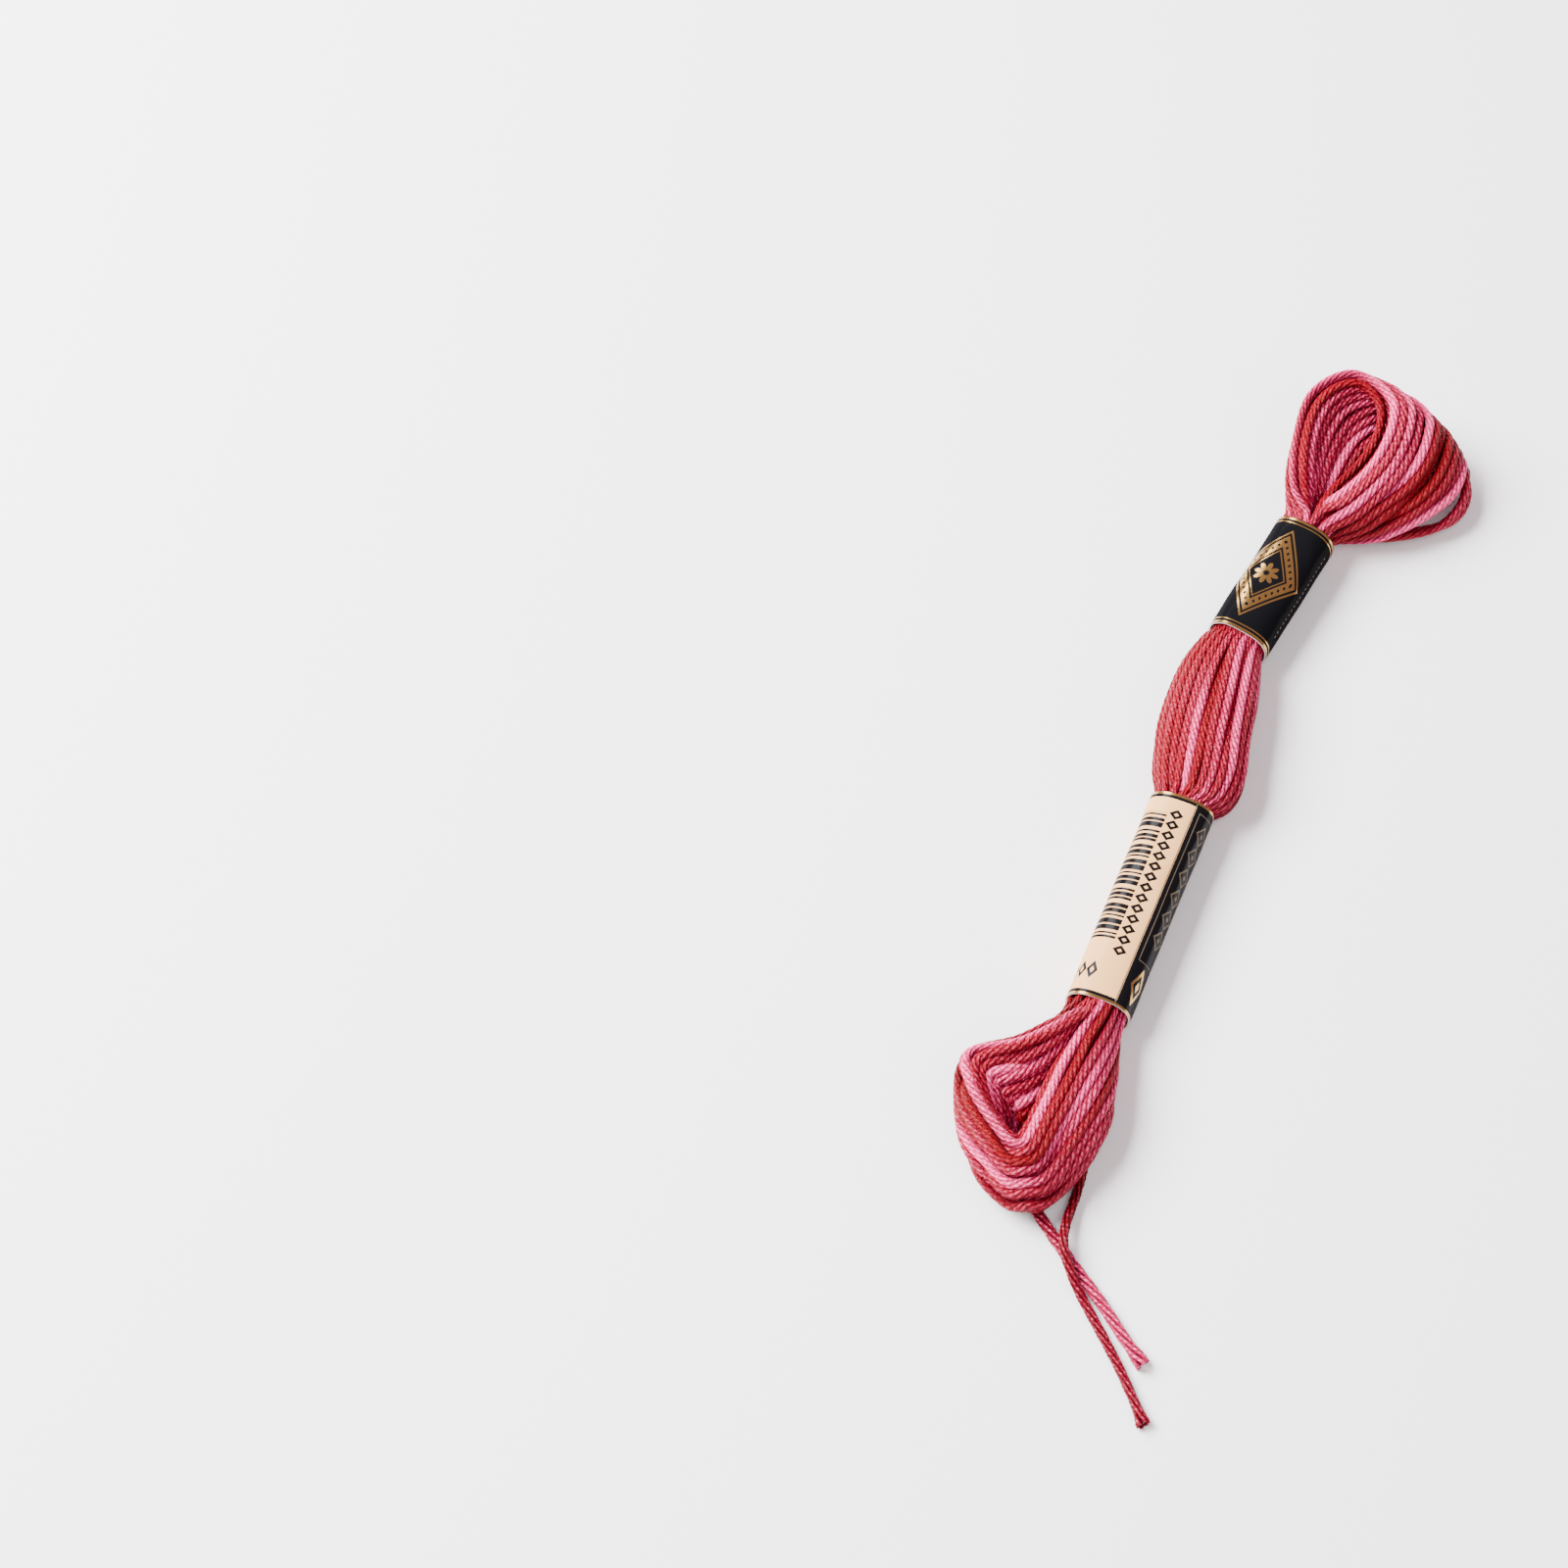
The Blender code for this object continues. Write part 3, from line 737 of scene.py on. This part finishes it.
def band_mesh(name, ends, seed):
    """A band: its outer wall printed, its inner wall and cut edges plain."""
    walls, around, along = band_walls(ends, seed)
    rows, columns = len(along), len(around)
    index = np.arange(2 * rows * columns).reshape(2, rows, columns)
    after = np.roll(index, -1, axis=2)
    outer = np.stack([index[0, :-1], index[0, 1:], after[0, 1:], after[0, :-1]], -1)
    inner = np.stack([index[1, :-1], after[1, :-1], after[1, 1:], index[1, 1:]], -1)
    low = np.stack([index[0, 0], after[0, 0], after[1, 0], index[1, 0]], -1)
    high = np.stack([index[0, -1], index[1, -1], after[1, -1], after[0, -1]], -1)
    faces = np.concatenate([part.reshape(-1, 4) for part in (outer, inner, low, high)])
    mesh = bpy.data.meshes.new(name)
    mesh.from_pydata(place(walls).reshape(-1, 3), [], faces)
    circle = -2 * around[0]
    x = np.broadcast_to(around, (2, rows, columns))
    y = np.broadcast_to(along[:, None], (2, rows, columns))
    u = x.ravel()[faces]
    u = np.where(u < u.max(axis=1, keepdims=True) - circle / 2, u + circle, u)
    uv = np.stack([u, y.ravel()[faces]], axis=-1)
    layer = mesh.uv_layers.new(name="print")
    layer.uv.foreach_set("vector", uv.ravel())
    plain = np.arange(len(faces)) >= outer.size // 4
    mesh.polygons.foreach_set("material_index", plain.astype(int))
    mesh.polygons.foreach_set("use_smooth", np.ones(len(faces), bool))
    mesh.set_sharp_from_angle(angle=SHARP_ANGLE)
    mesh.update()
    return mesh


# ---- Materials

class Field:
    """A number, vector or colour that a material works out at every point.

    Arithmetic on fields adds Math nodes to the material's tree.
    """

    def __init__(self, tree, socket):
        self.tree = tree
        self.socket = socket

    def node(self, kind, inputs, output=0, **settings):
        """A new node's output, with its inputs given as fields or values."""
        made = self.tree.nodes.new(kind)
        for name, value in settings.items():
            setattr(made, name, value)
        for key, value in inputs.items():
            if isinstance(value, Field):
                self.tree.links.new(value.socket, made.inputs[key])
            elif value is not None:
                made.inputs[key].default_value = value
        return Field(self.tree, made.outputs[output])

    def math(self, operation, *others):
        inputs = dict(enumerate((self,) + others))
        return self.node("ShaderNodeMath", inputs, operation=operation)

    def __add__(self, other):
        return self.math("ADD", other)

    def __sub__(self, other):
        return self.math("SUBTRACT", other)

    def __mul__(self, other):
        return self.math("MULTIPLY", other)

    def __truediv__(self, other):
        return self.math("DIVIDE", other)

    def __lt__(self, other):
        return self.math("LESS_THAN", other)

    def __gt__(self, other):
        return self.math("GREATER_THAN", other)

    def __abs__(self):
        return self.math("ABSOLUTE")

    def flip(self):
        """1 where this mask is 0, and 0 where it is 1."""
        return self * -1.0 + 1.0

    def clamp(self):
        """This number, held between 0 and 1."""
        return self.node("ShaderNodeClamp", {0: self})

    def within(self, low, high):
        """1 where this number lies between two others, 0 elsewhere."""
        return (self > low) * (self < high)

    def every(self, pitch):
        """How far this length is past the middle of its stretch of the pitch."""
        return ((self / pitch).math("FRACT") - 0.5) * pitch

    def mix(self, other, share, blend="MIX"):
        """This colour, and the other one as the share rises to 1."""
        return self.node("ShaderNodeMix", {0: share, 6: self, 7: other}, 2,
                         data_type="RGBA", blend_type=blend)

    def noise(self, detail, scale=1.0):
        """Noise read at this vector."""
        return self.node("ShaderNodeTexNoise",
                         {"Vector": self, "Scale": scale, "Detail": detail})

    def noise_with(self, other, detail):
        """Noise read at this number and another."""
        return self.node("ShaderNodeCombineXYZ", {0: self, 1: other}).noise(detail)

    def into(self, shader, socket):
        """Feeds this field to one of the shader's sockets."""
        self.tree.links.new(self.socket, shader.inputs[socket])


def new_finish(name):
    """A material with its tree, its shader and a field to start from."""
    finish = bpy.data.materials.new(name)
    finish.use_nodes = True
    tree = finish.node_tree
    shader = tree.nodes["Principled BSDF"]
    return finish, Field(tree, None), shader


def own_coordinates(start, layer):
    """The two numbers of a piece's own UV map."""
    uv = start.node("ShaderNodeUVMap", {}, uv_map=layer)
    both = uv.node("ShaderNodeSeparateXYZ", {"Vector": uv})
    return both, Field(both.tree, both.socket.node.outputs[1])


def attribute(start, name):
    """A number that the mesh holds at its points."""
    return start.node("ShaderNodeAttribute", {}, 2, attribute_name=name)


def ink(start, colour):
    """A plain colour as a field."""
    made = start.node("ShaderNodeRGB", {})
    made.socket.default_value = (*colour, 1.0)
    return made


def floss_finish(floss):
    """Dyed, lustrous cotton: tone along the thread, strands of two plies.

    The thread's own coordinates are the run in mm and the way round. A strand
    is a sixth of the way round; its plies cross it as slanting grains, which
    raise it and darken it with painted shade, and fine fibres lie along them.
    The dye is painted lit, and lighter, on top of a strand where the painted
    light is high; elsewhere it is darkened as painted shade, and pale strands
    get a painted highlight on those tops.
    """
    finish, start, shader = new_finish(FLOSS_FINISH)
    run, way = own_coordinates(start, "thread")
    around = way * float(STRANDS)
    across = around.math("FRACT")
    chevron = around.math("PINGPONG", 1.0)
    tone, crest = attribute(start, "tone"), attribute(start, "crest")
    dye = (run * 0.22).noise_with(around * 0.6, 3.0)
    slip = (run * 0.7).noise_with(around * 1.9, 1.0)
    fibre = (run * 1.6).noise_with(around * 7.0, 3.0)
    grain = run / PLY_LENGTH + chevron * 0.6 + slip * 2.2
    grain = abs((grain * math.pi).math("SINE"))
    strand = (across * math.pi).math("SINE")
    # Painted highlight: the tone goes lighter on top of each strand and ply where the painted
    # light is high
    top = strand * (grain * 0.5 + 0.5) * crest
    tone = tone + (dye - 0.5) * 0.30 + (top - 0.35) * 0.22
    ramp = start.tree.nodes.new("ShaderNodeValToRGB")
    start.tree.links.new(tone.socket, ramp.inputs[0])
    for place_on in DYE_PLACES[1:-1]:
        ramp.color_ramp.elements.new(place_on)
    dyes = (floss.red, floss.rose, floss.pink, floss.light)
    for element, place_on, dyed in zip(ramp.color_ramp.elements, DYE_PLACES, dyes):
        element.position = place_on
        element.color = (*dyed, 1.0)
    colour = Field(start.tree, ramp.outputs[0])
    # Painted shade: the dye is multiplied by GROOVE_SHADE in the grooves between strands and
    # plies and where the painted light is low; light is the share left unshaded
    light = strand.math("POWER", 0.35) * (grain * 0.60 + 0.42) + (fibre - 0.5) * 0.6
    light = (light * crest.math("POWER", 2.3) * 1.2).math("POWER", 1.4).clamp()
    colour = colour.mix(GROOVE_SHADE, 1.0, "MULTIPLY").mix(colour, light)
    # Painted highlight: pale strands go towards the painted gleam colour on their lit tops
    painted_gleam = (strand * (grain * 0.8 + 0.2) * crest).math("POWER", 4.0)
    painted_gleam = painted_gleam * (tone * 1.15 - 0.34).math("MAXIMUM", 0.015) * (fibre * 1.6 - 0.2)
    colour = colour.mix(ink(start, floss.painted_gleam), painted_gleam.clamp())
    bump = start.node("ShaderNodeBump", {
        "Strength": 0.9, "Distance": 0.00022, "Height": strand * 0.8 + grain * 0.5 + fibre * 0.4})
    colour.into(shader, "Base Color")
    bump.into(shader, "Normal")
    (fibre * 0.2 + 0.28).into(shader, "Roughness")
    shader.inputs["Specular IOR Level"].default_value = 0.08
    shader.inputs["Sheen Weight"].default_value = 0.01
    shader.inputs["Sheen Roughness"].default_value = 0.35
    return finish


def plain_finish(name, colour, roughness):
    """A finish of one colour and roughness."""
    finish, _, shader = new_finish(name)
    shader.inputs["Base Color"].default_value = (*colour, 1.0)
    shader.inputs["Roughness"].default_value = roughness
    return finish


def either(*masks):
    """1 where any of the masks is 1."""
    joined = masks[0]
    for mask in masks[1:]:
        joined = joined.math("MAXIMUM", mask)
    return joined


def lozenge(x, y, half_width, half_height):
    """How far out a point is from a lozenge's middle; 1 at its edge."""
    return abs(x) / half_width + abs(y) / half_height


def rosette(x, y, petals, middle, reach):
    """A flower about a point: its edge swells and shrinks with the angle."""
    far = (x * x + y * y).math("SQRT")
    turn = y.math("ARCTAN2", x) * (petals / 2)
    return (far - (abs(turn.math("COSINE")) * reach + middle)) < 0.0


def finish_print(start, shader, colour, gold, varnish):
    """Printed paper under clear varnish, with foil where gold is 1, and the
    paper's fine unevenness."""
    spot = start.node("ShaderNodeTexCoord", {}, 3)
    fine, slow = spot.noise(3.0, 900.0), spot.noise(2.0, 160.0)
    bump = start.node("ShaderNodeBump", {
        "Strength": 0.25, "Distance": 0.0003, "Height": slow + fine * 0.12})
    colour.into(shader, "Base Color")
    bump.into(shader, "Normal")
    (gold * FOIL_METAL).into(shader, "Metallic")
    (fine * 0.08 - gold * 0.02 + 0.20).into(shader, "Roughness")
    shader.inputs["Coat Weight"].default_value = varnish
    shader.inputs["Coat Roughness"].default_value = COAT_ROUGHNESS
    shader.inputs["Specular IOR Level"].default_value = 0.0


def black_paper_finish(paper):
    """Black paper: gold lines at both ends, and a broad gold lozenge frame,
    beaded in black, round an eight-petalled rosette. Places are in mm from
    the band's top and its lower end."""
    finish, start, shader = new_finish("black_gold_paper")
    x, y = own_coordinates(start, "print")
    from_end = y.math("MINIMUM", (y * -1.0) + UPPER_BAND_LENGTH)
    across, up = x + 1.3, y - 11.7
    half_width, half_height = 6.2, 9.4
    part = lozenge(across, up, half_width, half_height)
    lines = either(from_end.within(0.12, 0.54), from_end.within(0.96, 1.18),
                   part.within(0.94, 1.0), part.within(0.50, 0.54))
    along = (abs(up) / half_height - abs(across) / half_width) * 5.0
    side, out = (along.math("FRACT") - 0.5) * 1.1, (part - 0.735) * 4.6
    bead = (side * side + out * out) < 0.050
    ribbon = part.within(0.60, 0.87) * bead.flip()
    flower = rosette(across, up, 8, 0.95, 1.15) * rosette(across, up, 8, 0.34, 0.24).flip()
    row = (abs(x - 6.1) * 1.4 + abs(y.every(0.95)) / 0.95) < 0.30
    gold = either(lines, ribbon, flower)
    dim = row * y.within(2.6, 21.0)
    colour = ink(start, paper.black).mix(ink(start, paper.dim_gold), dim)
    colour = colour.mix(ink(start, paper.gold), gold)
    finish_print(start, shader, colour, gold, BLACK_VARNISH)
    return finish


def cream_paper_finish(paper):
    """Cream paper with a block of plain uneven bars and rows of outlined
    lozenges, and a black strip along one side with a dim frame and chain.
    Places are in mm from the band's top and its lower end."""
    finish, start, shader = new_finish("cream_black_paper")
    x, y = own_coordinates(start, "print")
    from_end = y.math("MINIMUM", (y * -1.0) + LOWER_BAND_LENGTH)
    beat = y * 6.2 + (y * 1.7).math("SINE") * 1.1 + (y * 3.9).math("SINE") * 0.5
    thick = (y * 2.3).math("SINE") * 0.40 - 0.38
    bars = (beat.math("SINE") > thick) * x.within(-8.6, -1.3) * y.within(10.4, 34.2)
    beads = lozenge(x - 0.05, y.every(1.96), 1.15, 0.93).within(0.36, 1.0)
    large = lozenge(x.every(1.9), y - 4.5, 0.92, 1.6).within(0.40, 1.0)
    strip = (x > 2.55) * (from_end > 0.5)
    dark = either(bars, beads * y.within(7.84, 35.28), large * x.within(-7.6, -1.9),
                  from_end.within(0.42, 0.95), strip)
    box_x, box_y = abs(x - 5.45), abs(y - 22.5)
    box = either((abs(box_x - 2.1) < 0.07) * (box_y < 13.75),
                 (abs(box_y - 13.7) < 0.07) * (box_x < 2.15))
    ring = lozenge(box_x, y.every(3.9), 1.45, 1.9)
    chain = either(ring.within(0.76, 1.0), ring < 0.26) * y.within(11.7, 35.1)
    leaf = lozenge(x - 5.0, y - 4.7, 1.45, 3.3)
    medal = either(leaf.within(0.68, 1.0), leaf < 0.30) * strip
    edge = abs(x - 2.42).within(0.0, 0.09) * (from_end > 0.5)
    gold = either(from_end.within(0.0, 0.42), medal)
    colour = ink(start, paper.cream).mix(ink(start, paper.black), dark)
    colour = colour.mix(ink(start, paper.dim_gold), either(strip * either(box, chain), edge))
    colour = colour.mix(ink(start, paper.gold), gold)
    finish_print(start, shader, colour, gold, CREAM_VARNISH)
    return finish


def shared_floss(floss):
    """The floss finish, made once."""
    return bpy.data.materials.get(FLOSS_FINISH) or floss_finish(floss)


# ---- Settings

COLOUR = {"subtype": "COLOR", "size": 3}


class FlossSettings(bpy.types.PropertyGroup):
    """Sizes and dyes of the thread."""
    thread_diameter: FloatProperty(
        name="Thread", description="Diameter of the six-stranded thread",
        default=0.0015, min=0.0005, unit="LENGTH")
    twist_length: FloatProperty(
        name="Twist", description="Length in which the strands turn once",
        default=0.0095, min=0.002, unit="LENGTH")
    red: FloatVectorProperty(
        name="Red", description="Deepest dye", default=(0.215, 0.0011, 0.0055), **COLOUR)
    rose: FloatVectorProperty(
        name="Rose", description="Dye between red and pink", default=(0.27, 0.0021, 0.0155),
        **COLOUR)
    pink: FloatVectorProperty(
        name="Pink", description="Middle pink dye", default=(0.40, 0.0070, 0.051), **COLOUR)
    light: FloatVectorProperty(
        name="Light pink", description="Lightest dye", default=(0.98, 0.065, 0.26), **COLOUR)
    # Colour of the painted highlight on pale strands
    painted_gleam: FloatVectorProperty(
        name="Gleam", description="Where a strand shines", default=(0.98, 0.27, 0.41), **COLOUR)


class PaperSettings(bpy.types.PropertyGroup):
    """Print colours of the bands."""
    black: FloatVectorProperty(
        name="Black", description="Black ink", default=(0.004, 0.004, 0.005), **COLOUR)
    gold: FloatVectorProperty(
        name="Gold", description="Gold foil", default=(0.46, 0.27, 0.08), **COLOUR)
    dim_gold: FloatVectorProperty(
        name="Dim gold", description="Brown-gold ink", default=(0.11, 0.085, 0.055), **COLOUR)
    cream: FloatVectorProperty(
        name="Cream", description="Cream ink", default=(0.68, 0.365, 0.145), **COLOUR)


class StageSettings(bpy.types.PropertyGroup):
    """Floor and light."""
    floor: FloatVectorProperty(
        name="Floor", description="Colour of the floor", default=(0.93, 0.93, 0.93), **COLOUR)
    key_power: FloatProperty(
        name="Main light", description="Power of the large soft light",
        default=52.0, min=0.0, unit="POWER")
    fill_power: FloatProperty(
        name="Fill light", description="Power of the light on the camera's side",
        default=7.0, min=0.0, unit="POWER")
    gloss_power: FloatProperty(
        name="Gloss light", description="Power of the light that the bands mirror",
        default=6.0, min=0.0, unit="POWER")
    sky: FloatProperty(
        name="Surroundings", description="Brightness of the room around",
        default=0.48, min=0.0)


# ---- Operators

def stand(context, name, data, right, up, back, spot):
    """Puts a camera or a light at a spot, looking away from its back."""
    piece = bpy.data.objects.new(name, data)
    piece.matrix_world = Matrix([*zip(right, up, back, spot), (0, 0, 0, 1)])
    context.collection.objects.link(piece)
    return piece


class SKEIN_OT_stage(bpy.types.Operator):
    """Camera at the photograph's angle, pale floor and soft light"""
    bl_idname = "skein.stage"
    bl_label = "Stage"

    def execute(self, context):
        settings = context.scene.skein_stage
        right = np.array([math.cos(VIEW_TURN), math.sin(VIEW_TURN), 0.0])
        ahead = np.array([-math.sin(VIEW_TURN), math.cos(VIEW_TURN), 0.0])
        up = ahead * math.sin(VIEW_HEIGHT) + UP * math.cos(VIEW_HEIGHT)
        back = -ahead * math.cos(VIEW_HEIGHT) + UP * math.sin(VIEW_HEIGHT)
        eye = np.array(VIEW_TARGET) + back * VIEW_DISTANCE
        camera = bpy.data.cameras.new("camera")
        camera.lens = VIEW_LENS
        camera.sensor_width = SENSOR
        camera.clip_start = 0.01
        context.scene.camera = stand(context, "camera", camera, right, up, back, eye)

        mesh = bpy.data.meshes.new("floor")
        corners = [(-1, -1), (1, -1), (1, 1), (-1, 1)]
        mesh.from_pydata([(x * FLOOR_REACH, y * FLOOR_REACH, FLOOR_Z) for x, y in corners],
                         [], [(0, 1, 2, 3)])
        mesh.materials.append(plain_finish("floor", settings.floor, 0.6))
        floor = bpy.data.objects.new("floor", mesh)
        context.collection.objects.link(floor)

        world = bpy.data.worlds.new("room")
        world.use_nodes = True
        shade = world.node_tree.nodes["Background"]
        shade.inputs["Color"].default_value = ROOM_COLOUR
        shade.inputs["Strength"].default_value = settings.sky
        context.scene.world = world

        for name, way, size, power in LIGHTS:
            aim = unit(right * way[0] + ahead * way[1] + UP * way[2])
            light = bpy.data.lights.new(name, "AREA")
            light.size = size
            light.energy = getattr(settings, power)
            beside = unit(np.cross(UP, aim))
            stand(context, name, light, beside, np.cross(aim, beside), aim,
                  np.array(LIT_POINT) + aim * LIGHT_DISTANCE)
        return {"FINISHED"}


class SKEIN_OT_upper_turns(bpy.types.Operator):
    """The turns of the loop past the short band"""
    bl_idname = "skein.upper_turns"
    bl_label = "Upper turns"

    def execute(self, context):
        floss = context.scene.skein_floss
        turns = loop_turns(UPPER_LOOP, UPPER_COUNTS, UPPER_LEAN, SLIT_WIDTH, UPPER_EASING,
                           UPPER_STRAY, UPPER_SEEDS[0], floss)
        add_turns("upper_turns", turns, UPPER_TONES, UPPER_COUNTS[0] - PARTED_TURNS,
                  UPPER_SEEDS[1], TURN_FLAT, floss)
        return {"FINISHED"}


class SKEIN_OT_belly_turns(bpy.types.Operator):
    """The turns between the bands"""
    bl_idname = "skein.belly_turns"
    bl_label = "Belly turns"

    def execute(self, context):
        floss = context.scene.skein_floss
        places, twists, dyes = BELLY_SEEDS
        inner = np.random.default_rng(dyes).uniform(10, 70, (BELLY_RINGS[1], 5))
        tones = np.concatenate([BELLY_TONES, inner])
        add_turns("belly_turns", belly_turns(places, floss), tones, len(tones), twists,
                  BELLY_FLAT, floss)
        return {"FINISHED"}


class SKEIN_OT_lower_turns(bpy.types.Operator):
    """The turns of the loop past the long band"""
    bl_idname = "skein.lower_turns"
    bl_label = "Lower turns"

    def execute(self, context):
        floss = context.scene.skein_floss
        turns = loop_turns(LOWER_LOOP, LOWER_COUNTS, LOWER_LEAN, 0.0, LOWER_EASING,
                           LOWER_STRAY, LOWER_SEEDS[0], floss)
        add_turns("lower_turns", turns, LOWER_TONES, LOWER_COUNTS[0], LOWER_SEEDS[1],
                  TURN_FLAT, floss)
        return {"FINISHED"}


class SKEIN_OT_loose_ends(bpy.types.Operator):
    """The thread's two cut ends, which come out under the lower loop"""
    bl_idname = "skein.loose_ends"
    bl_label = "Loose ends"

    def execute(self, context):
        floss = context.scene.skein_floss
        for node, route, tone, fullness, length, seed in LOOSE_ENDS:
            rings, crest, run, line = strand_rings(route, fullness, floss, seed)
            share = ease(run / run[:, -1:] * END_FADE)
            tones = tone[0] + (tone[1] - tone[0]) * share
            mesh = tube_mesh(node + "_strands", place(rings), crest, run * END_GRAIN, tones,
                             np.arange(STRANDS) / STRANDS, 1 / STRANDS)
            piece = show(mesh, shared_floss(floss), node)
        return {"FINISHED"}


class SKEIN_OT_bands(bpy.types.Operator):
    """The two paper bands, printed in black, gold and cream"""
    bl_idname = "skein.bands"
    bl_label = "Paper bands"

    def execute(self, context):
        paper = context.scene.skein_paper
        inside = plain_finish("paper_inside", (0.72, 0.66, 0.58), 0.7)
        for name, slot, node, ends, finish, seed in (
                ("upper_paper_band", "upper_paper", "upper_band", UPPER_BAND_ENDS,
                 black_paper_finish(paper), 51),
                ("lower_paper_band", "lower_paper", "lower_band", LOWER_BAND_ENDS,
                 cream_paper_finish(paper), 52)):
            mesh = band_mesh(name, ends, seed)
            show(mesh, finish, node)
            mesh.materials.append(inside)
        return {"FINISHED"}


class SKEIN_PT_panel(bpy.types.Panel):
    """The skein's pieces and settings"""
    bl_idname = "SKEIN_PT_panel"
    bl_label = "Skein"
    bl_space_type = "VIEW_3D"
    bl_region_type = "UI"
    bl_category = "Skein"

    def draw(self, context):
        for operator in OPERATORS:
            self.layout.operator(operator.bl_idname)
        scene = context.scene
        for group in (scene.skein_floss, scene.skein_paper, scene.skein_stage):
            for name in type(group).__annotations__:
                self.layout.prop(group, name)


OPERATORS = (SKEIN_OT_stage, SKEIN_OT_loose_ends, SKEIN_OT_upper_turns,
             SKEIN_OT_belly_turns, SKEIN_OT_lower_turns, SKEIN_OT_bands)
CLASSES = (FlossSettings, PaperSettings, StageSettings, SKEIN_PT_panel) + OPERATORS


def register():
    for part in CLASSES:
        bpy.utils.register_class(part)
    bpy.types.Scene.skein_floss = PointerProperty(type=FlossSettings)
    bpy.types.Scene.skein_paper = PointerProperty(type=PaperSettings)
    bpy.types.Scene.skein_stage = PointerProperty(type=StageSettings)


def unregister():
    del bpy.types.Scene.skein_stage
    del bpy.types.Scene.skein_paper
    del bpy.types.Scene.skein_floss
    for part in reversed(CLASSES):
        bpy.utils.unregister_class(part)


def main():
    """Makes every piece."""
    register()
    bpy.ops.skein.stage()
    bpy.ops.skein.loose_ends()
    bpy.ops.skein.upper_turns()
    bpy.ops.skein.belly_turns()
    bpy.ops.skein.lower_turns()
    bpy.ops.skein.bands()


if __name__ == "__main__":
    main()
